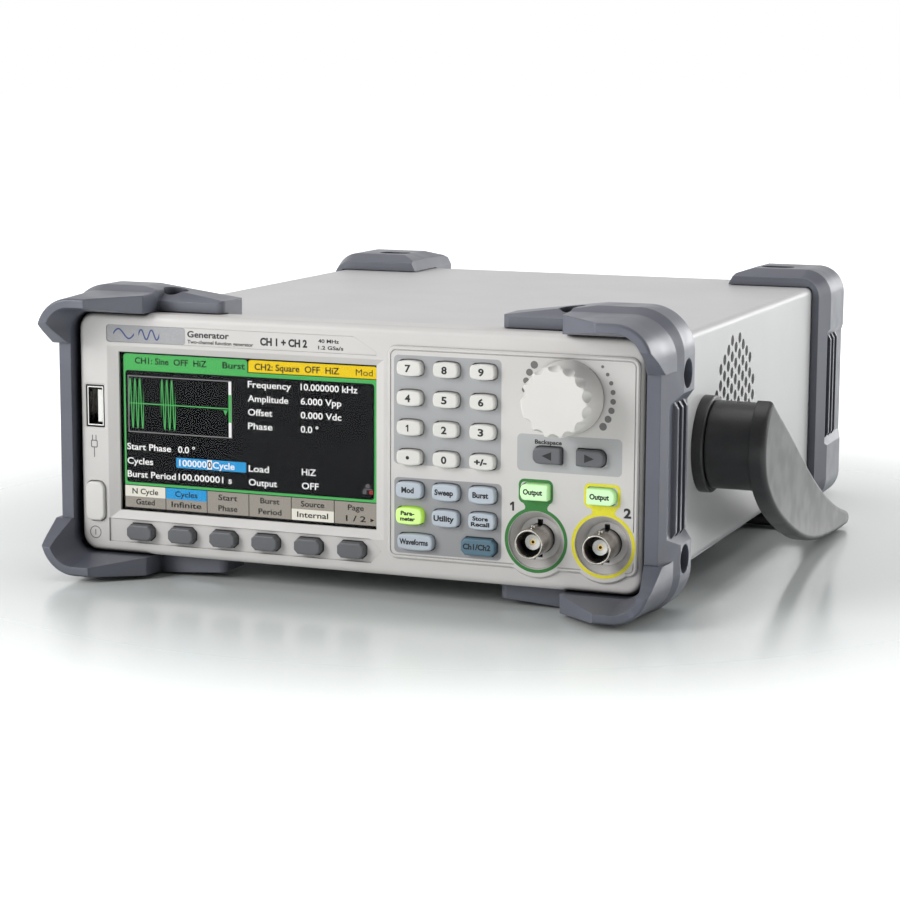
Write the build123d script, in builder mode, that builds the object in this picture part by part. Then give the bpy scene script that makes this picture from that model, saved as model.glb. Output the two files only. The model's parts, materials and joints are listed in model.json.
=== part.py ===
"""Two-channel bench function generator, built as an assembly of separate pieces.

Millimetres. X runs across the front from left to right, Y runs back from the front panel's face
(y = 0) and Z runs up from the surface it stands on (z = 0). The case is centred on x = 0. The
pieces are written with Y moved so that the origin is under the middle of the instrument.
"""
import os
from math import cos, radians, sin

from build123d import *

os.makedirs("parts", exist_ok=True)

# ---------------------------------------------------------------- driving dimensions
BODY_W = 204.0            # front frame and case width
BODY_X = BODY_W / 2
BEZEL_Z = (8.0, 91.5)     # front frame, bottom and top
BEZEL_D = 12.0
BEZEL_WALL = 1.8
FACE_T = 2.5              # thickness of the front frame's face
CASE_Z = (9.0, 88.0)      # sheet-metal case, bottom and top
CASE_BACK = 246.0
SHEET = 1.0
BUMPER_TOP = 100.0        # front bumpers stand from z = 0 to here
BUMPER_X = 111.2          # front bumpers' half width
BUMPER_BACK = 23.0
BUMPER_GAP = 0.3          # between a bumper and the case
HOOD_FRONT = -16.5        # how far the hoods reach in front of the panel
REAR_X = 108.0            # rear bumpers' half width
REAR_TOP = 94.5
REAR_Y = (223.0, 265.0)

MIDDLE_Y = (HOOD_FRONT + REAR_Y[1]) / 2   # middle of the depth

SCREEN = (-39.1, 50.5)    # centre of the display
LIT_W, LIT_H = 95.04, 53.86   # lit area of a 4.3 inch display
PLATE = (13.9, 100.3, 14.5, 85.2)  # raised control plate: left, right, bottom, top
PLATE_T = 1.0

KEY_GAP = 0.3             # round each key in its opening
KEY_TRAVEL = 0.8
KEY_SEAT = FACE_T + 0.05  # front of a key's flange, behind the face
STEM_END = 8.9            # back of a key's stem at rest
BOARD_Y = (11.0, 12.6)    # key board, front and back

HUB = (69.5, 48.0)        # handle axis: y and z
OUTPUTS = ((66.1, 24.2), (88.9, 24.2))
KNOB = (76.6, 71.5)
USB = (-95.9, 58.8)


def facing(y):
    """A sketch plane parallel to the front panel at depth y; its own axes are X and Z."""
    return Plane(origin=(0, y, 0), x_dir=(1, 0, 0), z_dir=(0, -1, 0))


def beside(x):
    """A sketch plane parallel to the case's sides; its own axes are Y and Z."""
    return Plane(origin=(x, 0, 0), x_dir=(0, 1, 0), z_dir=(1, 0, 0))


def above(z):
    """A level sketch plane at height z."""
    return Plane.XY.offset(z)


def save(part, name):
    """Write a piece, with the origin under the middle of the whole instrument."""
    placed = part.moved(Location((0, -MIDDLE_Y, 0)))
    placed.label = name
    export_step(placed, f"parts/{name}.step")


def span(low, high):
    """Middle and length of a stretch."""
    return (low + high) / 2, high - low


def front_rect(left, right, bottom, top, radius=0.0, mode=Mode.ADD):
    """A rectangle given by its edges, in the sketch in hand, with rounded corners."""
    (cx, w), (cz, h) = span(left, right), span(bottom, top)
    with Locations((cx, cz)):
        if radius:
            RectangleRounded(w, h, radius, mode=mode)
        else:
            Rectangle(w, h, mode=mode)


# ---------------------------------------------------------------- key outlines
def barrel(w, h, grow=0.0):
    """A key outline whose four sides bow outwards a little, grown all round by a gap."""
    w, h = w + 2 * grow, h + 2 * grow
    x, z = w / 2 - 0.45, h / 2 - 0.45
    with BuildSketch() as outline:
        with BuildLine():
            ThreePointArc((-x, z), (0, h / 2), (x, z))
            ThreePointArc((x, z), (w / 2, 0), (x, -z))
            ThreePointArc((x, -z), (0, -h / 2), (-x, -z))
            ThreePointArc((-x, -z), (-w / 2, 0), (-x, z))
        make_face()
        fillet(outline.vertices(), 1.3 + grow)
    return outline.sketch


def clipped(w, h, grow=0.0):
    """A rectangular key outline with its corners cut off, grown all round by a gap."""
    with BuildSketch() as outline:
        Rectangle(w + 2 * grow, h + 2 * grow)
        chamfer(outline.vertices(), 1.4 + 0.6 * grow)
    return outline.sketch


def two_sided(w, h, left, right, grow=0.0):
    """A rectangular key outline with one radius for its left corners and one for its right."""
    with BuildSketch() as outline:
        Rectangle(w + 2 * grow, h + 2 * grow)
        fillet(outline.vertices().group_by(Axis.X)[0], left + grow)
        fillet(outline.vertices().group_by(Axis.X)[-1], right + grow)
    return outline.sketch


def left_round(w, h, grow=0.0):
    """An outline with round corners on the left and nearly square ones on the right."""
    return two_sided(w, h, 2.1, 0.5, grow)


def right_round(w, h, grow=0.0):
    """An outline with round corners on the right and nearly square ones on the left."""
    return two_sided(w, h, 0.5, 2.1, grow)


def upright(w, h, grow=0.0):
    """A tall key outline with well rounded corners, grown all round by a gap."""
    with BuildSketch() as outline:
        RectangleRounded(w + 2 * grow, h + 2 * grow, 2.4 + grow)
    return outline.sketch


COLS = [22.4 + 12.75 * i for i in range(3)]
ROWS = [78.2 - 9.8 * i for i in range(4)]
FUNCTION_ROWS = (37.9, 29.3, 20.7)
SOFT_Z = 15.95

# name: (outline's function, width, height, centre x, centre z, front of the key)
KEYS = {}
for i in range(6):
    KEYS[f"soft_key_{i + 1}"] = (clipped, 9.7, 5.4, -38.6 + 15.84 * (i - 2.5), SOFT_Z, -2.4)
for row, names in enumerate((("7", "8", "9"), ("4", "5", "6"), ("1", "2", "3"), ("point", "0", "sign"))):
    for col, name in enumerate(names):
        KEYS[f"key_{name}"] = (barrel, 8.8, 5.2, COLS[col], ROWS[row], -3.4)
for row, names in enumerate((("mod", "sweep", "burst"), ("parameter", "utility", "store"))):
    for col, name in enumerate(names):
        KEYS[f"key_{name}"] = (barrel, 9.4, 5.7, COLS[col], FUNCTION_ROWS[row], -3.2)
KEYS["key_waveforms"] = (barrel, 12.6, 5.5, 24.6, FUNCTION_ROWS[2], -3.2)
KEYS["key_channel"] = (clipped, 12.0, 5.6, 46.7, FUNCTION_ROWS[2], -3.2)
KEYS["key_left"] = (left_round, 9.5, 5.4, 70.05, 52.4, -3.4)
KEYS["key_right"] = (right_round, 9.5, 5.4, 84.65, 52.4, -3.4)
KEYS["key_output_1"] = (left_round, 9.5, 5.3, 65.9, 40.2, -3.4)
KEYS["key_output_2"] = (right_round, 9.5, 5.3, 88.4, 40.2, -3.4)
KEYS["power_button"] = (upright, 7.2, 13.7, -95.85, 25.7, -1.3)
ON_PLATE = [name for name, key in KEYS.items() if key[3] > PLATE[0]]


def key_openings(names):
    """The keys' outlines, grown by the gap round them, in the sketch in hand."""
    for name in names:
        shape, w, h, x, z, _ = KEYS[name]
        with Locations((x, z)):
            add(shape(w, h, KEY_GAP))


# ---------------------------------------------------------------- keys
for name, (shape, w, h, x, z, front) in KEYS.items():
    with BuildPart() as key:
        with BuildSketch(facing(KEY_SEAT)):
            with Locations((x, z)):
                add(shape(w, h))
        extrude(amount=KEY_SEAT - front)
        cap = key.faces().sort_by(Axis.Y)[0]
        fillet(cap.edges(), 0.7)
        with BuildSketch(facing(KEY_SEAT + 1.0)):          # flange that holds the key in
            with Locations((x, z)):
                Rectangle(w - 0.1, h + 1.8)
        extrude(amount=1.0)
        with BuildSketch(facing(STEM_END)):                # stem that works the switch
            with Locations((x, z)):
                Rectangle(2.4, 2.4)
        extrude(amount=STEM_END - KEY_SEAT - 0.5)
    save(key.part, name)

# ---------------------------------------------------------------- front frame
CUP_R = (9.3, 7.0)      # dish round an output socket, at its mouth and its floor
CUP_Y = 3.2
CUP_FLOOR = 1.6
OPENING = (-87.1, 9.0, 22.9, 78.0)   # display opening: left, right, bottom, top
with BuildPart() as front_bezel:
    with BuildSketch(facing(0)):
        front_rect(-BODY_X, BODY_X, *BEZEL_Z, 6)
    extrude(amount=-BEZEL_D)
    rim = front_bezel.faces().sort_by(Axis.Y)[0]
    fillet(rim.edges(), 2.5)
    with BuildSketch(facing(FACE_T)):                      # hollow behind the face
        front_rect(-BODY_X + BEZEL_WALL, BODY_X - BEZEL_WALL,
                   BEZEL_Z[0] + BEZEL_WALL, BEZEL_Z[1] - BEZEL_WALL, 4.2)
    extrude(amount=-BEZEL_D, mode=Mode.SUBTRACT)
    with BuildSketch(facing(-0.01)):                       # bevel round the display
        front_rect(-90.8, 12.3, 19.9, 80.2)
    with BuildSketch(facing(1.6)):
        front_rect(*OPENING)
    loft(mode=Mode.SUBTRACT)
    with BuildSketch(facing(0)):                           # display opening and USB opening
        front_rect(*OPENING)
        front_rect(USB[0] - 3.6, USB[0] + 3.6, USB[1] - 7.35, USB[1] + 7.35, 0.4)
        with Locations(KNOB):
            Circle(4.0)
    extrude(amount=-FACE_T, mode=Mode.SUBTRACT)
    with BuildSketch(facing(0)):                           # shallow tray for the soft keys
        with BuildLine():
            Polyline((-90.9, 11.9), (7.6, 11.9), (11.4, 16.0), (7.6, 20.0), (-90.9, 20.0), close=True)
        make_face()
    extrude(amount=-0.5, mode=Mode.SUBTRACT)
    with BuildSketch(facing(0)):                           # recess for the name strip
        with BuildLine():
            Polyline((-90.9, 81.4), (9.6, 81.4), (9.6, 82.6), (1.2, 87.4), (-90.9, 87.4), close=True)
        strip = make_face()
        fillet(strip.vertices().group_by(Axis.X)[0], 1.2)
    extrude(amount=-0.3, mode=Mode.SUBTRACT)
    with BuildSketch(facing(-0.01)):                       # shallow bevel round the USB opening
        front_rect(USB[0] - 4.6, USB[0] + 4.6, USB[1] - 8.1, USB[1] + 8.1)
    with BuildSketch(facing(0.45)):
        front_rect(USB[0] - 3.6, USB[0] + 3.6, USB[1] - 7.35, USB[1] + 7.35)
    loft(mode=Mode.SUBTRACT)
    with BuildSketch(facing(0)):
        key_openings(KEYS)
    extrude(amount=-FACE_T, mode=Mode.SUBTRACT)
    for x, z in OUTPUTS:                                   # dished cups round the outputs
        with BuildSketch(facing(CUP_Y + CUP_FLOOR)):
            with Locations((x, z)):
                Circle(CUP_R[0] + 1.6)
        extrude(amount=CUP_Y + CUP_FLOOR - FACE_T)
        with BuildSketch(facing(0)):
            with Locations((x, z)):
                Circle(CUP_R[0])
        with BuildSketch(facing(CUP_Y)):
            with Locations((x, z)):
                Circle(CUP_R[1])
        loft(mode=Mode.SUBTRACT)
        with BuildSketch(facing(CUP_Y)):                   # hole with two notches for a plug's lugs
            with Locations((x, z)):
                Circle(4.95)
                Rectangle(1.8, 12.6)
        extrude(amount=-3, mode=Mode.SUBTRACT)
save(front_bezel.part, "front_bezel")

# ---------------------------------------------------------------- control plate
LOBE_R = 12.5           # rounds of the plate below the output sockets
with BuildPart() as control_plate:
    with BuildSketch(facing(0)):
        front_rect(*PLATE, 3)
        for x, z in OUTPUTS:
            with Locations((x, z)):
                Circle(LOBE_R)
                Circle(CUP_R[0] + 0.2, mode=Mode.SUBTRACT)
        front_rect(PLATE[1], PLATE[1] + 6, 5, 95, mode=Mode.SUBTRACT)
        with Locations(KNOB):
            Circle(4.0, mode=Mode.SUBTRACT)
    extrude(amount=PLATE_T)
    top = control_plate.faces().sort_by(Axis.Y)[0]
    chamfer(top.outer_wire().edges(), 0.5)
    with BuildSketch(facing(-PLATE_T)):                    # fine groove just inside the edge
        front_rect(PLATE[0] + 1.15, PLATE[1] - 1.15, PLATE[2] + 1.15, PLATE[3] - 1.15, 2.0)
        front_rect(PLATE[0] + 1.45, PLATE[1] - 1.45, PLATE[2] + 1.45, PLATE[3] - 1.45, 1.7,
                   mode=Mode.SUBTRACT)
        with Locations(*OUTPUTS):
            Circle(11.3, mode=Mode.SUBTRACT)
    extrude(amount=-0.2, mode=Mode.SUBTRACT)
    with BuildSketch(facing(0)):
        key_openings(ON_PLATE)
    extrude(amount=PLATE_T, mode=Mode.SUBTRACT)
save(control_plate.part, "control_plate")

# ---------------------------------------------------------------- display
with BuildPart() as screen_lens:
    with BuildSketch(facing(FACE_T)):
        with Locations(SCREEN):
            RectangleRounded(101.0, 59.0, 1.0)
    extrude(amount=-1.2)
save(screen_lens.part, "screen_lens")

with BuildPart() as lcd_module:
    with BuildSketch(facing(3.9)):
        with Locations(SCREEN):
            Rectangle(101.0, 57.0)
    extrude(amount=-3.0)
    with BuildSketch(facing(3.9)):                         # frame step round the lit area
        with Locations(SCREEN):
            Rectangle(LIT_W + 1.0, LIT_H + 1.0)
    extrude(amount=-0.2, mode=Mode.SUBTRACT)
save(lcd_module.part, "lcd_module")

# ---------------------------------------------------------------- front USB socket
with BuildPart() as front_usb_socket:
    with BuildSketch(facing(0.6)):
        with Locations(USB):
            Rectangle(6.2, 13.6)
            Rectangle(5.4, 12.8, mode=Mode.SUBTRACT)
    extrude(amount=-14)
    with BuildSketch(facing(13.0)):
        with Locations(USB):
            Rectangle(5.4, 12.8)
    extrude(amount=-1.6)
    with BuildSketch(facing(1.6)):                         # tongue with the contacts
        with Locations((USB[0] + 1.4, USB[1])):
            Rectangle(1.9, 11.2)
    extrude(amount=-12)
save(front_usb_socket.part, "front_usb_socket")

# ---------------------------------------------------------------- tuning knob
KNOB_R, KNOB_TIP_R, KNOB_H = 12.0, 11.25, 14.3
GRIPS = 14
SCOOP_R, SCOOP_DEEP = 2.4, 1.3   # grips: radius, and depth into the front edge
with BuildPart() as tuning_knob:
    with BuildSketch(facing(-PLATE_T - 0.6)):
        with Locations(KNOB):
            Circle(KNOB_R)
    extrude(amount=KNOB_H, taper=3.0)
    crown = tuning_knob.faces().sort_by(Axis.Y)[0]
    fillet(crown.edges(), 0.8)
    crown_y = -PLATE_T - 0.6 - KNOB_H
    for i in range(GRIPS):                                 # scooped grips round the front edge
        a = radians(360 / GRIPS * (i + 0.5))
        r = KNOB_TIP_R - SCOOP_DEEP + SCOOP_R
        scoop = Plane(origin=(KNOB[0] + r * cos(a), crown_y, KNOB[1] + r * sin(a)),
                      x_dir=(-sin(a), 0, cos(a)), z_dir=(0.36 * cos(a), 0.933, 0.36 * sin(a)))
        with Locations(scoop):
            Cylinder(SCOOP_R, 13, mode=Mode.SUBTRACT)
    with BuildSketch(facing(-PLATE_T - 0.6)):              # hollow skirt and shaft bore
        with Locations(KNOB):
            Circle(KNOB_R - 1.8)
            Circle(5.2, mode=Mode.SUBTRACT)
    extrude(amount=9.5, mode=Mode.SUBTRACT)
    with BuildSketch(facing(-PLATE_T - 0.6)):
        with Locations(KNOB):
            Circle(3.0)
    extrude(amount=10.5, mode=Mode.SUBTRACT)
save(tuning_knob.part, "tuning_knob")

SHAFT_R = 3.0
with BuildPart() as knob_shaft:
    with BuildSketch(facing(9.0)):
        with Locations(KNOB):
            Circle(SHAFT_R)
    extrude(amount=9.0 + PLATE_T + 0.6 + 10.0)
    with BuildSketch(facing(8.2)):                         # rotor disc inside the encoder
        with Locations(KNOB):
            Circle(4.4)
    extrude(amount=1.0)
save(knob_shaft.part, "knob_shaft")

with BuildPart() as encoder:
    with BuildSketch(facing(BOARD_Y[0])):
        with Locations(KNOB):
            RectangleRounded(12.4, 13.2, 0.6)
    extrude(amount=BOARD_Y[0] - KEY_SEAT - 2.4)
    with BuildSketch(facing(KEY_SEAT + 2.4)):
        with Locations(KNOB):
            Circle(3.8)
    extrude(amount=KEY_SEAT + 2.4 - 0.4)
    with BuildSketch(facing(0.2)):                         # shaft bore
        with Locations(KNOB):
            Circle(SHAFT_R + 0.05)
    extrude(amount=-9.4, mode=Mode.SUBTRACT)
    with BuildSketch(facing(6.8)):                         # room for the rotor disc
        with Locations(KNOB):
            Circle(4.8)
    extrude(amount=-2.8, mode=Mode.SUBTRACT)
save(encoder.part, "encoder")


# ---------------------------------------------------------------- BNC sockets
def socket_profile(rim, shoulder, seat, end):
    """Half section of a BNC shell, as radius and place along it.

    The barrel runs from the rim to the shoulder, the wider body from there to the seat on the
    metal it is bolted to, and the threaded tail from the seat to the end.
    """
    return [(2.65, end), (2.65, rim + 8.0), (4.05, rim + 8.0), (4.05, rim + 0.35), (4.3, rim),
            (4.65, rim), (4.83, rim + 0.25), (4.83, shoulder), (6.6, shoulder), (6.6, seat),
            (4.7, seat), (4.7, end)]


def turned(points, x, z, outward=-1.0):
    """A solid of revolution about the Y line through (x, z), in the part in hand.

    outward is -1 for a socket that faces forwards and 1 for one that faces back.
    """
    with BuildSketch(Plane(origin=(x, 0, z), x_dir=(1, 0, 0), z_dir=(0, 0, 1))) as section:
        with BuildLine():
            Polyline(*[(r, -outward * y) for r, y in points], close=True)
        make_face()
    revolve(section.sketch, axis=Axis((x, 0, z), (0, 1, 0)))


SOCKET_FRONT = -8.4       # rim of an output socket
WEB_Y = (19.4, 20.6)      # chassis web that carries the output sockets, front and back
PANEL_BACK = CASE_BACK + 1.2
REAR_SOCKETS = [(-8.0 - 17.0 * i, 66.0) for i in range(4)]
# centre, rim and way the socket faces; then shoulder, seat and end, all measured from the rim
SOCKETS = ([(x, z, SOCKET_FRONT, -1, CUP_Y + CUP_FLOOR - SOCKET_FRONT, WEB_Y[0] - SOCKET_FRONT, 34.0)
            for x, z in OUTPUTS]
           + [(x, z, PANEL_BACK + 12.8, 1, 10.8, 12.8, 25.2) for x, z in REAR_SOCKETS])

with BuildPart() as bnc_sockets:
    for x, z, rim_y, facing_way, shoulder, seat, end in SOCKETS:
        start = -facing_way * rim_y
        turned(socket_profile(start, start + shoulder, start + seat, start + end), x, z, facing_way)
        for up in (-1, 1):                                 # bayonet lugs
            lug = Plane(origin=(x, rim_y - facing_way * 4.6, z + up * 4.5), z_dir=(0, 0, up))
            with BuildSketch(lug):
                Circle(1.0)
            extrude(amount=1.05)
save(bnc_sockets.part, "bnc_sockets")

with BuildPart() as socket_insulators:
    for x, z, rim_y, facing_way, _, _, end in SOCKETS:
        sleeve = [(1.0, 4.2), (2.55, 4.2), (2.55, end - 1.2), (1.0, end - 1.2)]
        turned([(r, y - facing_way * rim_y) for r, y in sleeve], x, z, facing_way)
save(socket_insulators.part, "socket_insulators")

with BuildPart() as socket_contacts:
    for x, z, rim_y, facing_way, _, _, end in SOCKETS:
        tube = [(0.5, 4.5), (0.95, 4.5), (0.95, end - 0.2), (0.5, end - 0.2)]
        turned([(r, y - facing_way * rim_y) for r, y in tube], x, z, facing_way)
save(socket_contacts.part, "socket_contacts")

with BuildPart() as socket_nuts:
    for back, places in ((WEB_Y[1] + 2.2, OUTPUTS), (CASE_BACK, REAR_SOCKETS)):
        with BuildSketch(facing(back)):
            with Locations(*places):
                RegularPolygon(7.0, 6, major_radius=False)
                Circle(4.75, mode=Mode.SUBTRACT)
        extrude(amount=2.2)
save(socket_nuts.part, "socket_nuts")

# ---------------------------------------------------------------- key board and its switches
SWITCHES = [(x, z) for _, _, _, x, z, _ in KEYS.values()]
with BuildPart() as key_board:
    with BuildSketch(facing(BOARD_Y[0])):
        front_rect(14.6, 98.6, 11.4, 85.6, 1)
        front_rect(-98.4, 20.0, 11.4, 20.8)
        front_rect(-98.4, -92.2, 11.4, 38.0)
        with Locations(*OUTPUTS):
            Circle(7.6, mode=Mode.SUBTRACT)
    extrude(amount=-(BOARD_Y[1] - BOARD_Y[0]))
    with BuildSketch(facing(BOARD_Y[0])):
        with Locations(*SWITCHES):
            Rectangle(4.2, 4.2)
    extrude(amount=0.8)
    with BuildSketch(facing(BOARD_Y[0] - 0.8)):
        with Locations(*SWITCHES):
            Circle(1.1)
    extrude(amount=BOARD_Y[0] - 0.8 - STEM_END - KEY_TRAVEL - 0.15)
save(key_board.part, "key_board")

# ---------------------------------------------------------------- case
VENT_R, VENT_PITCH, VENT_HOLE = 25.6, 5.72, 2.0     # VENT_R holds the holes' centres
VENT = (108.9, 56.8)       # centre of each side's vent: y and z
SCREW_R, SCREW_HOLE = 2.0, 2.2
SIDE_SCREWS = [(15.6, 18.6), (15.6, 79.0)]     # y and z
END_SCREWS = [(72.0, 15.6), (84.0, 240.0)]    # x and y, top and bottom
vent_holes = []
for i in range(-5, 6):
    for j in range(-6, 7):
        y, z = i * VENT_PITCH * 0.866, (j + 0.5 * ((i + 1) % 2)) * VENT_PITCH
        if y * y + z * z < VENT_R ** 2:
            vent_holes.append((VENT[0] + y, VENT[1] + z))

with BuildPart() as top_cover:                             # top and both sides, one folded sheet
    with BuildSketch(facing(BEZEL_D)):
        front_rect(-BODY_X, BODY_X, *CASE_Z, 2.5)
    extrude(amount=-(CASE_BACK - BEZEL_D))
    with BuildSketch(facing(BEZEL_D)):
        front_rect(-BODY_X + SHEET, BODY_X - SHEET, CASE_Z[0] - 8, CASE_Z[1] - SHEET, 1.5)
    extrude(amount=-(CASE_BACK - BEZEL_D), mode=Mode.SUBTRACT)
    for side in (-1, 1):
        with BuildSketch(beside(side * BODY_X)):
            with Locations(*vent_holes):
                Circle(VENT_HOLE)
            with Locations(HUB):
                Circle(6.2)
            with Locations(*SIDE_SCREWS):
                Circle(SCREW_HOLE)
        extrude(amount=-side * (SHEET + 0.5), mode=Mode.SUBTRACT)
    with BuildSketch(above(CASE_Z[1] + 1)):
        with Locations(*[(side * x, y) for side in (-1, 1) for x, y in END_SCREWS]):
            Circle(SCREW_HOLE)
    extrude(amount=-3, mode=Mode.SUBTRACT)
save(top_cover.part, "top_cover")

BASE_T = 1.2
with BuildPart() as base_chassis:                          # floor with front and rear flanges
    with BuildSketch(above(CASE_Z[0])):
        with Locations((0, (BEZEL_D + CASE_BACK) / 2 + 0.6)):
            Rectangle(BODY_W - 2 * SHEET - 0.4, CASE_BACK - BEZEL_D - 1.4)
    extrude(amount=BASE_T)
    with BuildSketch(above(CASE_Z[0] + BASE_T)):           # side flanges, inside the cover
        for side in (-1, 1):
            with Locations((side * (BODY_X - SHEET - 0.8), (BEZEL_D + CASE_BACK) / 2)):
                Rectangle(1.2, CASE_BACK - BEZEL_D - 30)
    extrude(amount=12)
    with BuildSketch(above(CASE_Z[0] + BASE_T)):           # front web that carries the front frame
        with Locations((0, sum(WEB_Y) / 2)):
            Rectangle(BODY_W - 8, WEB_Y[1] - WEB_Y[0])
    extrude(amount=60)
    with BuildSketch(facing(BEZEL_D + 7)):                 # room for the display, holes for the sockets
        front_rect(-88, 10, 24, 64)
        with Locations(*OUTPUTS):
            Circle(4.75)
    extrude(amount=-4, mode=Mode.SUBTRACT)
    with BuildSketch(above(CASE_Z[0] + BASE_T)):           # board standoffs
        with Locations(*[(x, y) for x in (-14, 90) for y in (40, 120, 200)],
                       *[(x, y) for x in (-92, -30) for y in (60, 200)]):
            Circle(3)
    extrude(amount=5)
    with BuildSketch(above(CASE_Z[0] - 1)):
        with Locations(*[(side * x, y) for side in (-1, 1) for x, y in END_SCREWS]):
            Circle(SCREW_HOLE)
    extrude(amount=4, mode=Mode.SUBTRACT)
    for side in (-1, 1):
        with BuildSketch(beside(side * BODY_X)):
            with Locations(*SIDE_SCREWS):
                Circle(SCREW_HOLE + 0.6)
        extrude(amount=-side * 6, mode=Mode.SUBTRACT)
save(base_chassis.part, "base_chassis")

# ---------------------------------------------------------------- rear panel and its sockets
FAN = (55.0, 47.0)
INLET = (-70.0, 29.0)
NETWORK, USB_REAR = (-34.0, 30.0), (-8.0, 30.0)
with BuildPart() as rear_panel:
    with BuildSketch(facing(CASE_BACK)):
        front_rect(-BODY_X + 1.2, BODY_X - 1.2, CASE_Z[0] + 0.2, CASE_Z[1] - 1.2, 2)
        with Locations(*REAR_SOCKETS):
            Circle(4.75, mode=Mode.SUBTRACT)
        with Locations(INLET):
            Rectangle(28.0, 21.0, mode=Mode.SUBTRACT)
        with Locations(NETWORK):
            Rectangle(16.6, 14.2, mode=Mode.SUBTRACT)
        with Locations(USB_REAR):
            Rectangle(12.8, 11.8, mode=Mode.SUBTRACT)
        with Locations(FAN):
            with PolarLocations(0, 1):
                Circle(2.2, mode=Mode.SUBTRACT)
            for ring in range(1, 5):
                with PolarLocations(6.1 * ring, 6 * ring):
                    Circle(2.2, mode=Mode.SUBTRACT)
    extrude(amount=-(PANEL_BACK - CASE_BACK))
save(rear_panel.part, "rear_panel")

with BuildPart() as mains_inlet:
    with BuildSketch(facing(PANEL_BACK)):
        with Locations(INLET):
            RectangleRounded(33.0, 26.0, 3)
    extrude(amount=-2.2)
    with BuildSketch(facing(PANEL_BACK)):
        with Locations(INLET):
            Rectangle(27.6, 20.6)
    extrude(amount=24)
    with BuildSketch(facing(PANEL_BACK + 2.2)):            # mouth, two corners cut as on the plug
        with Locations(INLET):
            with BuildSketch(mode=Mode.PRIVATE) as mouth:
                Rectangle(24.6, 16.8)
                chamfer(mouth.vertices().group_by(Axis.Y)[-1], 4.6)
            add(mouth.sketch)
    extrude(amount=18, mode=Mode.SUBTRACT)
    with BuildSketch(facing(PANEL_BACK - 16)):             # blades: line, neutral and earth
        with Locations((INLET[0] - 7, INLET[1] - 2), (INLET[0] + 7, INLET[1] - 2)):
            Rectangle(2, 4)
        with Locations((INLET[0], INLET[1] + 2)):
            Rectangle(2, 4)
    extrude(amount=-15)
save(mains_inlet.part, "mains_inlet")

with BuildPart() as data_ports:
    for (x, z), (w, h), (mw, mh) in ((NETWORK, (16.0, 13.6), (11.8, 8.4)),
                                     (USB_REAR, (12.2, 11.2), (8.6, 7.8))):
        with BuildSketch(facing(PANEL_BACK + 0.4)):
            with Locations((x, z)):
                Rectangle(w, h)
        extrude(amount=18)
        with BuildSketch(facing(PANEL_BACK + 0.4)):
            with Locations((x, z)):
                Rectangle(mw, mh)
        extrude(amount=12, mode=Mode.SUBTRACT)
    with BuildSketch(facing(PANEL_BACK - 1)):              # tongue of the square USB port
        with Locations(USB_REAR):
            Rectangle(5.4, 3.2)
    extrude(amount=12)
    with BuildSketch(facing(PANEL_BACK - 1)):              # contact shelf of the network port
        with Locations((NETWORK[0], NETWORK[1] + 3.4)):
            Rectangle(9.0, 1.6)
    extrude(amount=11)
save(data_ports.part, "data_ports")

# ---------------------------------------------------------------- fan
FAN_Y = (226.0, 245.8)
BLADES = 7
with BuildPart() as fan_frame:
    with BuildSketch(facing(FAN_Y[1])):
        with Locations(FAN):
            RectangleRounded(60, 60, 3)
            Circle(28.6, mode=Mode.SUBTRACT)
            with GridLocations(50, 50, 2, 2):
                Circle(2.1, mode=Mode.SUBTRACT)
    extrude(amount=FAN_Y[1] - FAN_Y[0])
    with BuildSketch(facing(FAN_Y[0] + 3)):                # motor seat and its three struts
        with Locations(FAN):
            Circle(12)
            with PolarLocations(20, 3, start_angle=90):
                Rectangle(20, 4)
    extrude(amount=3)
    with BuildSketch(facing(FAN_Y[0] + 12)):               # bearing tube
        with Locations(FAN):
            Circle(3.4)
            Circle(1.55, mode=Mode.SUBTRACT)
    extrude(amount=9)
    with BuildSketch(facing(FAN_Y[0] + 3)):
        with Locations(FAN):
            Circle(1.55)
    extrude(amount=2, mode=Mode.SUBTRACT)
save(fan_frame.part, "fan_frame")

with BuildPart() as fan_rotor:
    with BuildSketch(facing(FAN_Y[1] - 1.6)):
        with Locations(FAN):
            Circle(13.5)
    extrude(amount=13.6)
    for i in range(BLADES):
        a = 360 / BLADES * i
        out = (cos(radians(a)), 0, sin(radians(a)))
        blade = Plane(origin=(FAN[0] + 12.0 * out[0], FAN_Y[1] - 8.6, FAN[1] + 12.0 * out[2]),
                      x_dir=(-out[2] * 0.766, 0.643, out[0] * 0.766), z_dir=out)
        with BuildSketch(blade):
            RectangleRounded(15.0, 1.3, 0.6)
        extrude(amount=15.4)
    with BuildSketch(facing(FAN_Y[0] + 4)):                # hollow of the hub
        with Locations(FAN):
            Circle(12.2)
    extrude(amount=-12.4, mode=Mode.SUBTRACT)
    with BuildSketch(facing(FAN_Y[1] - 1.6)):              # shaft
        with Locations(FAN):
            Circle(1.5)
    extrude(amount=16.4)
save(fan_rotor.part, "fan_rotor")

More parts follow.
